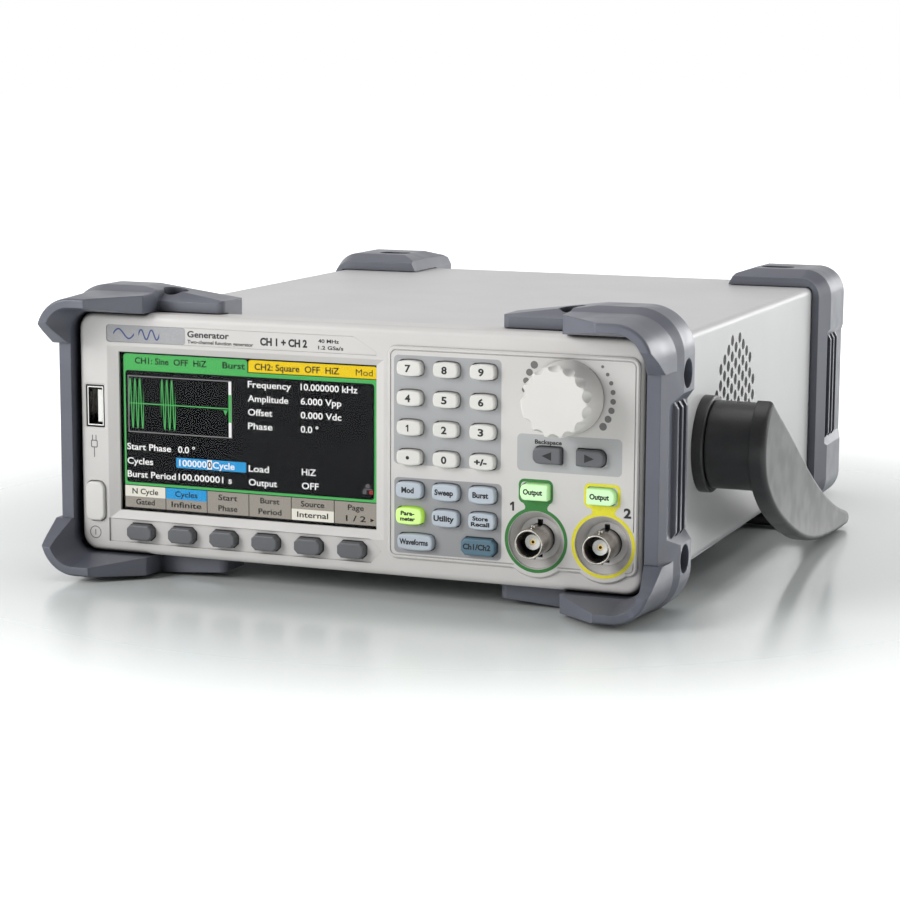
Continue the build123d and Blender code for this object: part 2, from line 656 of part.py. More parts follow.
# ---------------------------------------------------------------- boards inside
BOARD_Z = CASE_Z[0] + BASE_T + 5.0
with BuildPart() as main_board:
    with BuildSketch(above(BOARD_Z)):
        with Locations((38.0, 121.0)):
            Rectangle(118.0, 184.0)
    extrude(amount=1.6)
    top_z = BOARD_Z + 1.6
    with BuildSketch(above(top_z)):                        # screening can
        with Locations((15.0, 78.0)):
            Rectangle(58.0, 70.0)
    extrude(amount=13)
    with BuildSketch(above(top_z)):                        # base of the output stage's heat sink
        with Locations((74.0, 74.0)):
            Rectangle(36.0, 60.0)
    extrude(amount=5)
    with BuildSketch(above(top_z + 5)):                    # its fins
        with Locations((74.0, 74.0)):
            with GridLocations(5.5, 1, 7, 1):
                Rectangle(1.8, 60.0)
    extrude(amount=20)
    with BuildSketch(above(top_z)):                        # processor, memory and converters
        with Locations((10.0, 140.0), (45.0, 140.0), (45.0, 168.0)):
            Rectangle(22.0, 22.0)
    extrude(amount=2.4)
    with BuildSketch(above(top_z)):                        # capacitors
        with Locations(*[(80.0, 130.0 + 14 * i) for i in range(5)]):
            Circle(5)
    extrude(amount=13)
save(main_board.part, "main_board")

with BuildPart() as power_supply:
    with BuildSketch(above(BOARD_Z)):
        with Locations((-61.0, 130.0)):
            Rectangle(72.0, 166.0)
    extrude(amount=1.6)
    with BuildSketch(above(BOARD_Z + 1.6)):                # transformer
        with Locations((-61.0, 118.0)):
            Rectangle(36.0, 34.0)
    extrude(amount=30)
    with BuildSketch(above(BOARD_Z + 1.6)):                # reservoir capacitors
        with Locations((-80.0, 165.0), (-52.0, 165.0)):
            Circle(11)
    extrude(amount=32)
    with BuildSketch(above(BOARD_Z + 1.6)):                # choke, regulators and heat spreader
        with Locations((-61.0, 195.0)):
            Rectangle(40.0, 12.0)
        with Locations((-90.0, 110.0)):
            Rectangle(4.0, 80.0)
    extrude(amount=24)
save(power_supply.part, "power_supply")

# ---------------------------------------------------------------- front bumpers
TONGUE_X, HOOD_X = 50.5, 75.0   # where the ears end, and where the hoods begin
RING_Y, POST_Y, EAR_Y = 11.0, -3.0, 8.0   # fronts of the outer ring, the side posts and the ears
RIB_Z = (24.0, 73.0)            # grip recess in the side of each bumper
MID_Z = BUMPER_TOP / 2

with BuildPart() as hood:
    with BuildSketch(facing(7)):                           # set a step inside the ring
        front_rect(-BUMPER_X + 1.1, BUMPER_X - 1.1, 0.9, BUMPER_TOP - 1.5, 14)
    extrude(amount=7 - HOOD_FRONT, taper=2.8)
    lip = hood.faces().sort_by(Axis.Y)[0]
    fillet(lip.edges(), 0.9)
    with BuildSketch(above(-1)) as plan:                   # keep the right-hand corners only
        with BuildLine():
            Polyline((-130, 20), (HOOD_X, 20), (HOOD_X, POST_Y), (91.0, HOOD_FRONT - 0.01),
                     (91.0, -40), (-130, -40), close=True)
        make_face()
        fillet(plan.vertices().sort_by_distance((91.0, HOOD_FRONT))[0], 5)
        fillet(plan.vertices().sort_by_distance((HOOD_X, POST_Y))[0], 1.2)
    extrude(amount=120, mode=Mode.SUBTRACT)
    for up in (1, -1):                                     # side stretch of each hood falls back
        with BuildSketch(beside(96)):
            with BuildLine():
                Polyline((20, MID_Z), (20, MID_Z + up * 30.6), (-4, MID_Z + up * 30.6),
                         (HOOD_FRONT - 0.5, MID_Z + up * 39), (-40, MID_Z + up * 39), (-40, MID_Z), close=True)
            make_face()
        extrude(amount=30, mode=Mode.SUBTRACT)

with BuildPart() as front_bumper_right:
    with BuildSketch(facing(BUMPER_BACK)):
        front_rect(-BUMPER_X, BUMPER_X, 0, BUMPER_TOP, 15)
    extrude(amount=BUMPER_BACK - RING_Y)
    with BuildSketch(facing(RING_Y)):
        front_rect(-BUMPER_X, BUMPER_X, 0, BUMPER_TOP, 15)
    extrude(amount=RING_Y - POST_Y, taper=14)
    add(hood.part)
    with BuildSketch(facing(POST_Y)):                      # flare inside the hoods
        front_rect(-103.2, 103.2, 7.7, 91.8, 7)
    extrude(amount=24, taper=-10.5, mode=Mode.SUBTRACT)
    with BuildSketch(facing(POST_Y)):                      # room for the front frame
        front_rect(-103.2, 103.2, 7.7, 91.8, 7)
    extrude(amount=-(-POST_Y + BEZEL_D + 0.3), mode=Mode.SUBTRACT)
    with BuildSketch(facing(0)):                           # room for the case
        front_rect(-BODY_X - BUMPER_GAP, BODY_X + BUMPER_GAP, CASE_Z[0] - BUMPER_GAP,
                   CASE_Z[1] + BUMPER_GAP, 2)
    extrude(amount=-40, mode=Mode.SUBTRACT)
    with BuildSketch(above(-1)) as ears:                   # ears end in a tongue with a rounded corner
        with BuildLine():
            Polyline((-130, 40), (TONGUE_X, 40), (TONGUE_X, EAR_Y), (HOOD_X, EAR_Y), (HOOD_X, -40),
                     (-130, -40), close=True)
        make_face()
        fillet(ears.vertices().sort_by_distance((TONGUE_X, EAR_Y))[0], 2.4)
    extrude(amount=120, mode=Mode.SUBTRACT)
    for edge, end, up in ((BUMPER_TOP, 4.3, 1), (0, 2.4, -1)):   # ears thin out towards their ends
        with BuildSketch(facing(40)):
            with BuildLine():
                Polyline((TONGUE_X - 2, edge - up * end), (82, edge + up * 0.01), (82, edge + up * 10),
                         (TONGUE_X - 2, edge + up * 10), close=True)
            make_face()
        extrude(amount=80, mode=Mode.SUBTRACT)
    with BuildSketch(beside(TONGUE_X - 1)):                # slope above the front of each upper ear
        with BuildLine():
            Polyline((EAR_Y - 10, 95.3), (EAR_Y, 95.3), (16, 100.1), (16, 110), (EAR_Y - 10, 110), close=True)
        make_face()
    extrude(amount=HOOD_X - TONGUE_X + 1, mode=Mode.SUBTRACT)
    with BuildSketch(facing(40)):                          # ribbed grip in the side
        with BuildLine():
            Polyline((BUMPER_X + 1, RIB_Z[0] - 1.5), (BUMPER_X - 2.2, RIB_Z[0] + 3),
                     (BUMPER_X - 2.2, RIB_Z[1] - 3), (BUMPER_X + 1, RIB_Z[1] + 1.5), close=True)
        make_face()
    extrude(amount=39.5, mode=Mode.SUBTRACT)
    for y in (7.5, 12.5, 17.5):
        with BuildSketch(facing(y + 0.8)):
            with BuildLine():
                Polyline((BUMPER_X - 2.3, RIB_Z[0] + 2), (BUMPER_X - 2.3, RIB_Z[1] - 2),
                         (BUMPER_X - 0.6, RIB_Z[1] - 4.5), (BUMPER_X - 0.6, RIB_Z[0] + 4.5), close=True)
            make_face()
        extrude(amount=1.6)
    with BuildSketch(beside(BUMPER_X + 1)):                # screw wells in the side, top and bottom
        with Locations(*SIDE_SCREWS):
            Circle(4.8)
    extrude(amount=-7, mode=Mode.SUBTRACT)
    with BuildSketch(beside(BUMPER_X + 1)):
        with Locations(*SIDE_SCREWS):
            Circle(SCREW_HOLE)
    extrude(amount=-20, mode=Mode.SUBTRACT)
    for z, down in ((BUMPER_TOP + 1, -1), (-1, 1)):
        with BuildSketch(above(z)):
            with Locations(END_SCREWS[0]):
                Circle(4.4)
        extrude(amount=down * 6.5, mode=Mode.SUBTRACT)
        with BuildSketch(above(z)):
            with Locations(END_SCREWS[0]):
                Circle(SCREW_HOLE)
        extrude(amount=down * 16, mode=Mode.SUBTRACT)
save(front_bumper_right.part, "front_bumper_right")

with BuildPart() as front_bumper_left:
    mirror(front_bumper_right.part, about=Plane.YZ)
save(front_bumper_left.part, "front_bumper_left")

# ---------------------------------------------------------------- rear bumpers
with BuildPart() as rear_bumper_right:
    with BuildSketch(facing(255)):
        front_rect(-REAR_X, REAR_X, 0, REAR_TOP, 10.5)
    extrude(amount=23)
    with BuildSketch(facing(232)):                         # slopes down to the case in front
        front_rect(-REAR_X, REAR_X, 0, REAR_TOP, 10.5)
    extrude(amount=9, taper=18)
    with BuildSketch(facing(255)):                         # and in behind
        front_rect(-REAR_X, REAR_X, 0, REAR_TOP, 10.5)
    extrude(amount=-10, taper=18)
    with BuildSketch(facing(220)):                         # room for the case
        front_rect(-BODY_X - BUMPER_GAP, BODY_X + BUMPER_GAP, CASE_Z[0] - BUMPER_GAP,
                   CASE_Z[1] + BUMPER_GAP, 2)
    extrude(amount=-(PANEL_BACK + BUMPER_GAP - 220), mode=Mode.SUBTRACT)
    with BuildSketch(facing(220)):                         # lip that hooks behind the rear panel
        front_rect(-95, 95, 15, 82, 6)
    extrude(amount=-60, mode=Mode.SUBTRACT)
    with BuildSketch(facing(280)):                         # ears' slanting ends
        with BuildLine():
            Polyline((-130, -10), (76.5, -10), (76.5, 0), (70.2, 2.4), (68, 8.6), (68, 88.4),
                     (70.2, 92.6), (76.5, REAR_TOP), (76.5, 120), (-130, 120), close=True)
        make_face()
    extrude(amount=80, mode=Mode.SUBTRACT)
    with BuildSketch(facing(280)):                         # ribbed grip in the side
        with BuildLine():
            Polyline((REAR_X + 1, RIB_Z[0] - 1.5), (REAR_X - 2, RIB_Z[0] + 3),
                     (REAR_X - 2, RIB_Z[1] - 5), (REAR_X + 1, RIB_Z[1] - 0.5), close=True)
        make_face()
    extrude(amount=50, mode=Mode.SUBTRACT)
    for y in (236.5, 242, 247.5):
        with BuildSketch(facing(y + 0.8)):
            with BuildLine():
                Polyline((REAR_X - 2.1, RIB_Z[0] + 2), (REAR_X - 2.1, RIB_Z[1] - 4),
                         (REAR_X - 0.6, RIB_Z[1] - 6.5), (REAR_X - 0.6, RIB_Z[0] + 4.5), close=True)
            make_face()
        extrude(amount=1.6)
    for z, down in ((REAR_TOP + 1, -1), (-1, 1)):
        with BuildSketch(above(z)):
            with Locations(END_SCREWS[1]):
                SlotOverall(13.6, 8.8)
        extrude(amount=down * 4.2, mode=Mode.SUBTRACT)
        with BuildSketch(above(z)):
            with Locations(END_SCREWS[1]):
                Circle(SCREW_HOLE)
        extrude(amount=down * 16, mode=Mode.SUBTRACT)
save(rear_bumper_right.part, "rear_bumper_right")

with BuildPart() as rear_bumper_left:
    mirror(rear_bumper_right.part, about=Plane.YZ)
save(rear_bumper_left.part, "rear_bumper_left")

# ---------------------------------------------------------------- screws that hold the bumpers
# seat of the head, way the head faces and length
screws = []
for side in (-1, 1):
    for y, z in SIDE_SCREWS:
        screws.append(((side * (BUMPER_X + 1 - 7), y, z), (side, 0, 0), (0, 1, 0)))
    for x, y in END_SCREWS:
        top, bottom = (BUMPER_TOP + 1 - 6.5, 5.5) if y < 100 else (REAR_TOP + 1 - 4.2, 3.2)
        screws.append(((side * x, y, top), (0, 0, 1), (1, 0, 0)))
        screws.append(((side * x, y, bottom), (0, 0, -1), (1, 0, 0)))
with BuildPart() as bumper_screws:
    for seat, out, across in screws:
        under_head = Plane(origin=seat, x_dir=across, z_dir=out)
        with BuildSketch(under_head):
            Circle(3.5)
            RegularPolygon(1.35, 6, major_radius=False, mode=Mode.SUBTRACT)
        extrude(amount=2.2)
        with BuildSketch(under_head):
            Circle(3.5)
        extrude(amount=0.8)
        with BuildSketch(under_head):
            Circle(SCREW_R)
        extrude(amount=-10.5)
save(bumper_screws.part, "bumper_screws")

# ---------------------------------------------------------------- handle and its hubs
HUB_DISC_R, DRUM_R, STUB_R = 16.7, 15.1, 9.0
DISC_X = 105.9
ARM_X = (121.8, 127.6)
with BuildPart() as handle_hubs:
    for side in (-1, 1):
        with BuildSketch(beside(side * BODY_X)):
            with Locations(HUB):
                Circle(HUB_DISC_R)
        extrude(amount=side * (DISC_X - BODY_X))
        with BuildSketch(beside(side * (BODY_X - 5))):     # boss through the case, and the stub
            with Locations(HUB):
                Circle(6.0)
        extrude(amount=side * 5.1)
        with BuildSketch(beside(side * DISC_X)):
            with Locations(HUB):
                Circle(STUB_R)
        extrude(amount=side * 13.5)
    discs = handle_hubs.edges().filter_by(GeomType.CIRCLE).filter_by(
        lambda e: abs(e.radius - HUB_DISC_R) < 0.01 and abs(abs(e.center().X) - DISC_X) < 0.01)
    fillet(discs, 0.8)
save(handle_hubs.part, "handle_hubs")

with BuildPart() as handle_side:                           # right arm with its drum
    with BuildSketch(beside(ARM_X[0])):
        with BuildLine():
            ThreePointArc((59.5, 34.5), (52.9, 48.8), (64.0, 64.6))
            Spline((64.0, 64.6), (89.0, 50.8), (121.0, 32.2), (155.0, 16.2), (185.6, 6.6),
                   tangents=((0.86, -0.5), (0.97, -0.24)))
            ThreePointArc((185.6, 6.6), (187.6, 3.8), (184.5, 1.2))
            Spline((184.5, 1.2), (155.0, 2.2), (122.0, 6.4), (88.0, 17.6), (59.5, 34.5),
                   tangents=((-1, 0), (-0.7, 0.71)))
        make_face()
    extrude(amount=ARM_X[1] - ARM_X[0])
    outer = handle_side.faces().sort_by(Axis.X)[-1]
    fillet(outer.edges(), 1.9)
    with BuildSketch(beside(DISC_X + 0.3)):
        with Locations(HUB):
            Circle(DRUM_R)
    extrude(amount=ARM_X[0] - DISC_X - 0.3 + 0.5)
    with BuildSketch(beside(DISC_X)):
        with Locations(HUB):
            Circle(STUB_R + 0.05)
    extrude(amount=14.2, mode=Mode.SUBTRACT)

with BuildPart() as handle:
    add(handle_side.part)
    mirror(handle_side.part, about=Plane.YZ)
    with BuildSketch(beside(-ARM_X[0] - 0.5)):             # grip bar under the case
        with Locations((178.5, 3.8)):
            RectangleRounded(17.0, 5.2, 2.4)
    extrude(amount=2 * ARM_X[0] + 1)
save(handle.part, "handle")
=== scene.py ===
import json
from math import asin, cos, degrees, pi, radians, sin, sqrt

import bmesh
import bpy
from mathutils import Matrix, Vector


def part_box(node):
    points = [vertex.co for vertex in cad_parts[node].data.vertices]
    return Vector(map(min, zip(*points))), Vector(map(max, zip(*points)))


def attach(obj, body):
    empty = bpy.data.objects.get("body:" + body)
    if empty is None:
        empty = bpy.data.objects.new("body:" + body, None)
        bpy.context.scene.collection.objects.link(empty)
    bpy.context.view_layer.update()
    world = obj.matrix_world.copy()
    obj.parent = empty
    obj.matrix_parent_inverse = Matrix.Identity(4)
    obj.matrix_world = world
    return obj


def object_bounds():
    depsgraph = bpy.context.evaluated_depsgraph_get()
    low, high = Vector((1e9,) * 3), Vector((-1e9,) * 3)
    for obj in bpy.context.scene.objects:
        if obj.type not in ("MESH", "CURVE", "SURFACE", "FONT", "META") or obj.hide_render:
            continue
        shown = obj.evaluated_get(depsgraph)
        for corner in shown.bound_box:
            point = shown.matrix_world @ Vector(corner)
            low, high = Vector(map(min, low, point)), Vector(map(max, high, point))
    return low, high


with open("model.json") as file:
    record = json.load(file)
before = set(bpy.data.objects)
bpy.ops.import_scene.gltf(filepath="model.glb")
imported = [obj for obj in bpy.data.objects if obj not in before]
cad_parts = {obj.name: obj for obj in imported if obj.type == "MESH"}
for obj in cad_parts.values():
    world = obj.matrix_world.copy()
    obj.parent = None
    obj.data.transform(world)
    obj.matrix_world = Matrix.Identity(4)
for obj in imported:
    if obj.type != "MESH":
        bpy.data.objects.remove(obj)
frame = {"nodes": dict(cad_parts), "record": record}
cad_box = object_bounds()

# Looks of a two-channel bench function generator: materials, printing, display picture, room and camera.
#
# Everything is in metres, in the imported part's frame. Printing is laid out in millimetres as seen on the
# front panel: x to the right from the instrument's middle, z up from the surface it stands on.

MM = 0.001
ROOT = "instrument"
FACE_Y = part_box("front_bezel")[0].y          # front panel's face
PLATE_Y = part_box("control_plate")[0].y       # control plate's face


# ---------------------------------------------------------------- outlines, in panel millimetres
CORNER_STEPS = 6                             # straight pieces that make a quarter circle


def arc(cx, cz, r, start, end, count):
    """Points on a circle from one angle to another, in degrees."""
    steps = [radians(start + (end - start) * i / count) for i in range(count + 1)]
    return [(cx + r * cos(a), cz + r * sin(a)) for a in steps]


def circle(cx, cz, r, count=48):
    return arc(cx, cz, r, 0, 360, count)[:-1]


def rounded(left, right, bottom, top, r=0.0, corners="all"):
    """A rectangle with rounded corners; `corners` may be "top" or "all"."""
    if not r:
        return [(left, bottom), (right, bottom), (right, top), (left, top)]
    low = [(left, bottom), (right, bottom)]
    if corners == "all":
        low = (arc(left + r, bottom + r, r, 180, 270, CORNER_STEPS)
               + arc(right - r, bottom + r, r, 270, 360, CORNER_STEPS))
    return (low + arc(right - r, top - r, r, 0, 90, CORNER_STEPS)
            + arc(left + r, top - r, r, 90, 180, CORNER_STEPS))


def bar(a, b, width):
    """A straight stroke from a to b."""
    (ax, az), (bx, bz) = a, b
    run = sqrt((bx - ax) ** 2 + (bz - az) ** 2)
    nx, nz = -(bz - az) / run * width / 2, (bx - ax) / run * width / 2
    return [(ax + nx, az + nz), (ax - nx, az - nz), (bx - nx, bz - nz), (bx + nx, bz + nz)]


def bend(a, corner, b):
    """Points of a curve from a to b that is pulled towards a corner."""
    points = []
    for i in range(CORNER_STEPS + 1):
        t = i / CORNER_STEPS
        weights = ((1 - t) ** 2, 2 * t * (1 - t), t * t)
        points.append(tuple(sum(w * p[k] for w, p in zip(weights, (a, corner, b))) for k in (0, 1)))
    return points


WAVE_STEPS = 60


def wave(start, end, middle, height, cycles, width):
    """A sine trace of an even stroke width, as one outline."""
    rows = []
    for i in range(WAVE_STEPS + 1):
        turn = 2 * pi * cycles * i / WAVE_STEPS
        steep = 2 * pi * cycles * height * cos(turn) / (end - start)
        x, z = start + (end - start) * i / WAVE_STEPS, middle + height * sin(turn)
        rows.append((x, z, width / 2 * sqrt(1 + steep * steep)))
    return [(x, z - half) for x, z, half in rows] + [(x, z + half) for x, z, half in reversed(rows)]


# ---------------------------------------------------------------- shaders
MASK_BLUR = 0.06                             # half width of a printed edge, mm


class Shader:
    """A material being built from nodes, in the object's own metres."""

    def __init__(self, name):
        self.material = bpy.data.materials.new(name)
        self.material.use_nodes = True
        self.tree = self.material.node_tree
        self.bsdf = self.tree.nodes["Principled BSDF"]
        self.place = self.add("ShaderNodeTexCoord").outputs["Object"]

    def put(self, socket, value):
        if isinstance(value, bpy.types.NodeSocket):
            self.tree.links.new(value, socket)
        elif isinstance(value, tuple) and len(value) == 3 and socket.type == "RGBA":
            socket.default_value = (*value, 1.0)
        else:
            socket.default_value = value

    def add(self, kind, settings=None, **inputs):
        """Makes a node. Inputs are given by name, with spaces written as underscores."""
        node = self.tree.nodes.new(kind)
        for key, value in (settings or {}).items():
            setattr(node, key, value)
        for key, value in inputs.items():
            self.put(node.inputs[key.replace("_", " ")], value)
        return node

    def set(self, **inputs):
        for key, value in inputs.items():
            self.put(self.bsdf.inputs[key.replace("_", " ")], value)

    def maths(self, operation, *values, clamp=False):
        node = self.add("ShaderNodeMath", {"operation": operation, "use_clamp": clamp})
        for socket, value in zip(node.inputs, values):
            self.put(socket, value)
        return node.outputs[0]

    def noise(self, size, detail=3.0, stretch=(1, 1, 1)):
        """Noise from 0 to 1 whose features are about `size` millimetres."""
        where = self.place
        if stretch != (1, 1, 1):
            where = self.add("ShaderNodeMapping", Vector=self.place, Scale=stretch).outputs[0]
        node = self.add("ShaderNodeTexNoise", Vector=where, Scale=1 / (size * MM), Detail=detail)
        return node.outputs["Fac"]

    def cells(self, size):
        """Distance to the nearest of scattered points about `size` millimetres apart."""
        node = self.add("ShaderNodeTexVoronoi", Vector=self.place, Scale=1 / (size * MM))
        return node.outputs["Distance"]

    def between(self, value, low, high, out_low=0.0, out_high=1.0):
        node = self.add("ShaderNodeMapRange", {"interpolation_type": "SMOOTHSTEP"}, Value=value,
                        From_Min=low, From_Max=high, To_Min=out_low, To_Max=out_high)
        return node.outputs[0]

    def mix(self, factor, first, second):
        """First colour where the factor is 0, second where it is 1."""
        node = self.tree.nodes.new("ShaderNodeMix")
        node.data_type = "RGBA"
        for index, value in ((0, factor), (6, first), (7, second)):
            self.put(node.inputs[index], value)
        return node.outputs[2]

    def base_colour(self):
        """What feeds the base colour: a socket, or the plain colour set on it."""
        socket = self.bsdf.inputs["Base Color"]
        return socket.links[0].from_socket if socket.links else tuple(socket.default_value)[:3]

    def relief(self, height, depth, soften=0.0):
        """Bumps `depth` millimetres deep, over edges rounded by `soften` millimetres."""
        inputs = {"Height": height, "Distance": depth * MM, "Strength": 1.0}
        if soften:
            inputs["Normal"] = self.add("ShaderNodeBevel", {"samples": 4}, Radius=soften * MM).outputs[0]
        self.set(Normal=self.add("ShaderNodeBump", **inputs).outputs[0])

    def shade_hollows(self, reach, dark, least=0.35, most=0.9):
        """Paints shade into the base colour: darkens corners and hollows narrower than `reach` millimetres to
        `dark` of their colour.
        """
        open_sky = self.add("ShaderNodeAmbientOcclusion", {"samples": 6}, Distance=reach * MM).outputs["AO"]
        base = self.base_colour()
        full = self.mix(dark, (0.0, 0.0, 0.0), (1.0, 1.0, 1.0))
        tone = self.mix(self.between(open_sky, least, most), full, (1.0, 1.0, 1.0))
        node = self.tree.nodes.new("ShaderNodeMix")
        node.data_type, node.blend_type = "RGBA", "MULTIPLY"
        for index, value in ((0, 1.0), (6, base), (7, tone)):
            self.put(node.inputs[index], value)
        self.set(Base_Color=node.outputs[2])
        return self

    def box_mask(self, left, right, bottom, top, r):
        """1 inside a rounded rectangle on the front panel, given in millimetres."""
        if not hasattr(self, "axes"):
            self.axes = self.add("ShaderNodeSeparateXYZ", Vector=self.place).outputs
        reach = []
        for axis, low, high in ((0, left, right), (2, bottom, top)):
            off = self.maths("SUBTRACT", self.axes[axis], (low + high) / 2 * MM)
            over = self.maths("SUBTRACT", self.maths("ABSOLUTE", off), ((high - low) / 2 - r) * MM)
            over = self.maths("MAXIMUM", over, 0.0)
            reach.append(self.maths("MULTIPLY", over, over))
        away = self.maths("SQRT", self.maths("ADD", *reach))
        return self.between(away, (r + MASK_BLUR) * MM, (r - MASK_BLUR) * MM)


def moulded(name, colour, rough=0.45, grain=0.35, depth=0.012, mottle=0.04, soften=0.25):
    """Moulded plastic: fine spark-eroded grain, faint flow marks, uneven gloss."""
    s = Shader(name)
    flow = s.noise(18, 4)
    dark = tuple(c * (1 - mottle) for c in colour)
    light = tuple(min(1.0, c * (1 + mottle)) for c in colour)
    s.set(Base_Color=s.mix(s.between(flow, 0.35, 0.65), dark, light),
          Roughness=s.between(s.noise(9, 1), 0.3, 0.7, rough - 0.03, rough + 0.04))
    s.relief(s.noise(grain, 2), depth, soften)
    return s


def metal(name, colour, rough=0.25, streak=(1, 1, 1), size=1.2, depth=0.004, soften=0.12):
    """Bare or plated metal with fine marks along one direction."""
    s = Shader(name)
    marks = s.noise(size, 5, streak)
    dull = tuple(c * 0.86 for c in colour)
    s.set(Base_Color=s.mix(s.between(marks, 0.3, 0.7), dull, colour), Metallic=1.0,
          Roughness=s.between(marks, 0.3, 0.7, rough * 0.75, rough * 1.3))
    s.relief(marks, depth, soften)
    return s


def ink(name, colour, rough=0.5):
    """Screen-printed ink, a little uneven."""
    s = Shader(name)
    film = s.noise(0.6, 3)
    s.set(Base_Color=s.mix(s.between(film, 0.35, 0.65), colour, tuple(c * 0.93 for c in colour)),
          Roughness=s.between(film, 0.3, 0.7, rough - 0.06, rough + 0.06))
    return s.material


DOT = 0.198                                  # pitch of the display's dots, mm


def glow(name, colour):
    """Lit dots of the display, with a faint gap between rows."""
    s = Shader(name)
    row = s.add("ShaderNodeSeparateXYZ", Vector=s.place).outputs["Z"]
    gap = s.maths("SINE", s.maths("MULTIPLY", row, 2 * pi / (DOT * MM)))
    shade = s.between(gap, -1.0, 1.0)
    s.set(Base_Color=(0.002, 0.002, 0.002), Roughness=1.0, Specular_IOR_Level=0.0,
          Emission_Strength=1.0, Emission_Color=s.mix(shade, tuple(c * 0.94 for c in colour), colour))
    return s.material


def front_plastic():
    s = moulded("front_plastic", (0.60, 0.580, 0.566), rough=0.42, grain=0.3, depth=0.006, mottle=0.012,
                soften=0.3)
    # painted shade: the base colour is darkened in gaps, corners and hollows
    return s.shade_hollows(3.5, 0.08, least=0.2, most=0.65)


TRAYS = (                                    # left, right, bottom, top, corner radius, grey
    (16.3, 53.8, 46.2, 82.3, 1.6, (0.36, 0.365, 0.375)),
    (16.5, 54.2, 16.5, 41.8, 1.6, (0.30, 0.30, 0.31)),
    (59.4, 94.8, 46.8, 58.9, 1.6, (0.40, 0.405, 0.41)),
)


def plate_plastic():
    """The front plastic with three printed grey trays round the keys."""
    s = front_plastic()
    s.material.name = "control_plate_plastic"
    base = s.base_colour()
    for *tray, grey in TRAYS:
        base = s.mix(s.box_mask(*tray), base, grey)
    s.set(Base_Color=base)
    return s


def bumper_rubber():
    """Satin elastomer: soft grain, slight bloom, rubbed edges a little lighter, and painted shade darkening
    its hollows and gaps.
    """
    s = moulded("bumper_rubber", (0.098, 0.103, 0.132), rough=0.36, grain=0.28, depth=0.006, mottle=0.05,
                soften=0.5)
    worn = s.between(s.add("ShaderNodeNewGeometry").outputs["Pointiness"], 0.52, 0.62, 0.0, 0.35)
    s.set(Base_Color=s.mix(worn, s.base_colour(), (0.19, 0.20, 0.235)), Specular_IOR_Level=0.6)
    # painted shade: the base colour is darkened in the gaps beside the front frame and in other hollows
    return s.shade_hollows(5.0, 0.12, least=0.25, most=0.75)


def case_paint():
    """Smooth powder coat with faint orange peel."""
    s = Shader("case_paint")
    broad = s.noise(40, 3)
    s.set(Base_Color=s.mix(s.between(broad, 0.3, 0.7), (0.53, 0.527, 0.532), (0.55, 0.547, 0.55)),
          Roughness=s.between(s.noise(30, 1), 0.3, 0.7, 0.38, 0.42), Specular_IOR_Level=0.35,
          Coat_Weight=0.1, Coat_Roughness=0.3)
    s.relief(s.noise(12.0, 0), 0.004)
    return s


def handle_plastic():
    """Graphite moulding with small flecks in its skin, and painted shade darkening its hollows."""
    s = moulded("handle_plastic", (0.022, 0.022, 0.024), rough=0.38, grain=0.5, depth=0.0004, mottle=0.05,
                soften=0.7)
    flecks = s.between(s.cells(0.7), 0.05, 0.32, 1.0, 0.0)
    s.set(Base_Color=s.mix(flecks, s.base_colour(), (0.034, 0.034, 0.037)), Specular_IOR_Level=0.55)
    # painted shade: the base colour is darkened in hollows
    return s.shade_hollows(9.0, 0.3, least=0.2, most=0.7)


def lens():
    """Clear window over the display, with fingertip-soft smears in its gloss."""
    s = Shader("lens")
    s.set(Base_Color=(0.96, 0.97, 0.97), Transmission_Weight=1.0, IOR=1.16,
          Roughness=s.between(s.noise(9, 2), 0.35, 0.75, 0.0, 0.012))
    return s


def display_frame():
    """Black frame of the display module, dull behind its window."""
    s = moulded("display", (0.006, 0.006, 0.007), rough=0.6, grain=0.5, depth=0.002, mottle=0.1, soften=0.1)
    s.set(Specular_IOR_Level=0.1)
    return s


def circuit_board():
    """Green solder mask with lighter copper tracks under it."""
    s = Shader("circuit_board")
    tracks = s.add("ShaderNodeTexBrick", {"offset": 0.37, "squash": 1.6}, Vector=s.place, Scale=160.0,
                   Mortar_Size=0.012).outputs["Fac"]
    base = s.mix(s.between(s.noise(6, 3), 0.3, 0.7), (0.015, 0.12, 0.05), (0.02, 0.16, 0.07))
    s.set(Base_Color=s.mix(tracks, base, (0.05, 0.30, 0.13)), Roughness=0.3)
    s.relief(tracks, 0.03)
    return s


def key_cap(name, colour, rough=0.4, glow_colour=None, strength=0.0):
    """Key cap; a lit one is palest on its front, where the lamp behind it shows through."""
    s = moulded(name, colour, rough, grain=0.25, depth=0.006, mottle=0.02, soften=0.35)
    if glow_colour:
        facing = s.add("ShaderNodeSeparateXYZ",
                       Vector=s.add("ShaderNodeNewGeometry").outputs["Normal"]).outputs["Y"]
        front = s.between(facing, -0.35, -0.95)
        pale = tuple(c + (1 - c) * 0.45 for c in glow_colour)
        s.set(Emission_Color=s.mix(front, glow_colour, pale), Emission_Strength=strength)
    return s


def knob_plastic():
    return moulded("knob_plastic", (0.67, 0.65, 0.625), rough=0.42, grain=0.3, depth=0.005, mottle=0.012,
                   soften=0.3)


def insulator():
    s = moulded("insulator", (0.88, 0.875, 0.85), rough=0.35, grain=0.4, depth=0.006, mottle=0.02, soften=0.1)
    s.set(Subsurface_Weight=0.15, Subsurface_Scale=0.001)
    return s


def plated_steel():
    s = metal("plated_steel", (0.66, 0.65, 0.63), rough=0.22, streak=(1, 1, 0.15))
    # painted shade: the base colour is darkened inside hollows
    return s.shade_hollows(3.0, 0.05, least=0.3, most=0.85)


def nickel():
    s = metal("nickel", (0.60, 0.56, 0.52), rough=0.17, streak=(1, 0.12, 1), size=0.8)
    # painted shade: the base colour is darkened inside hollows, such as deep in the sockets
    return s.shade_hollows(4.0, 0.03, least=0.3, most=0.85)


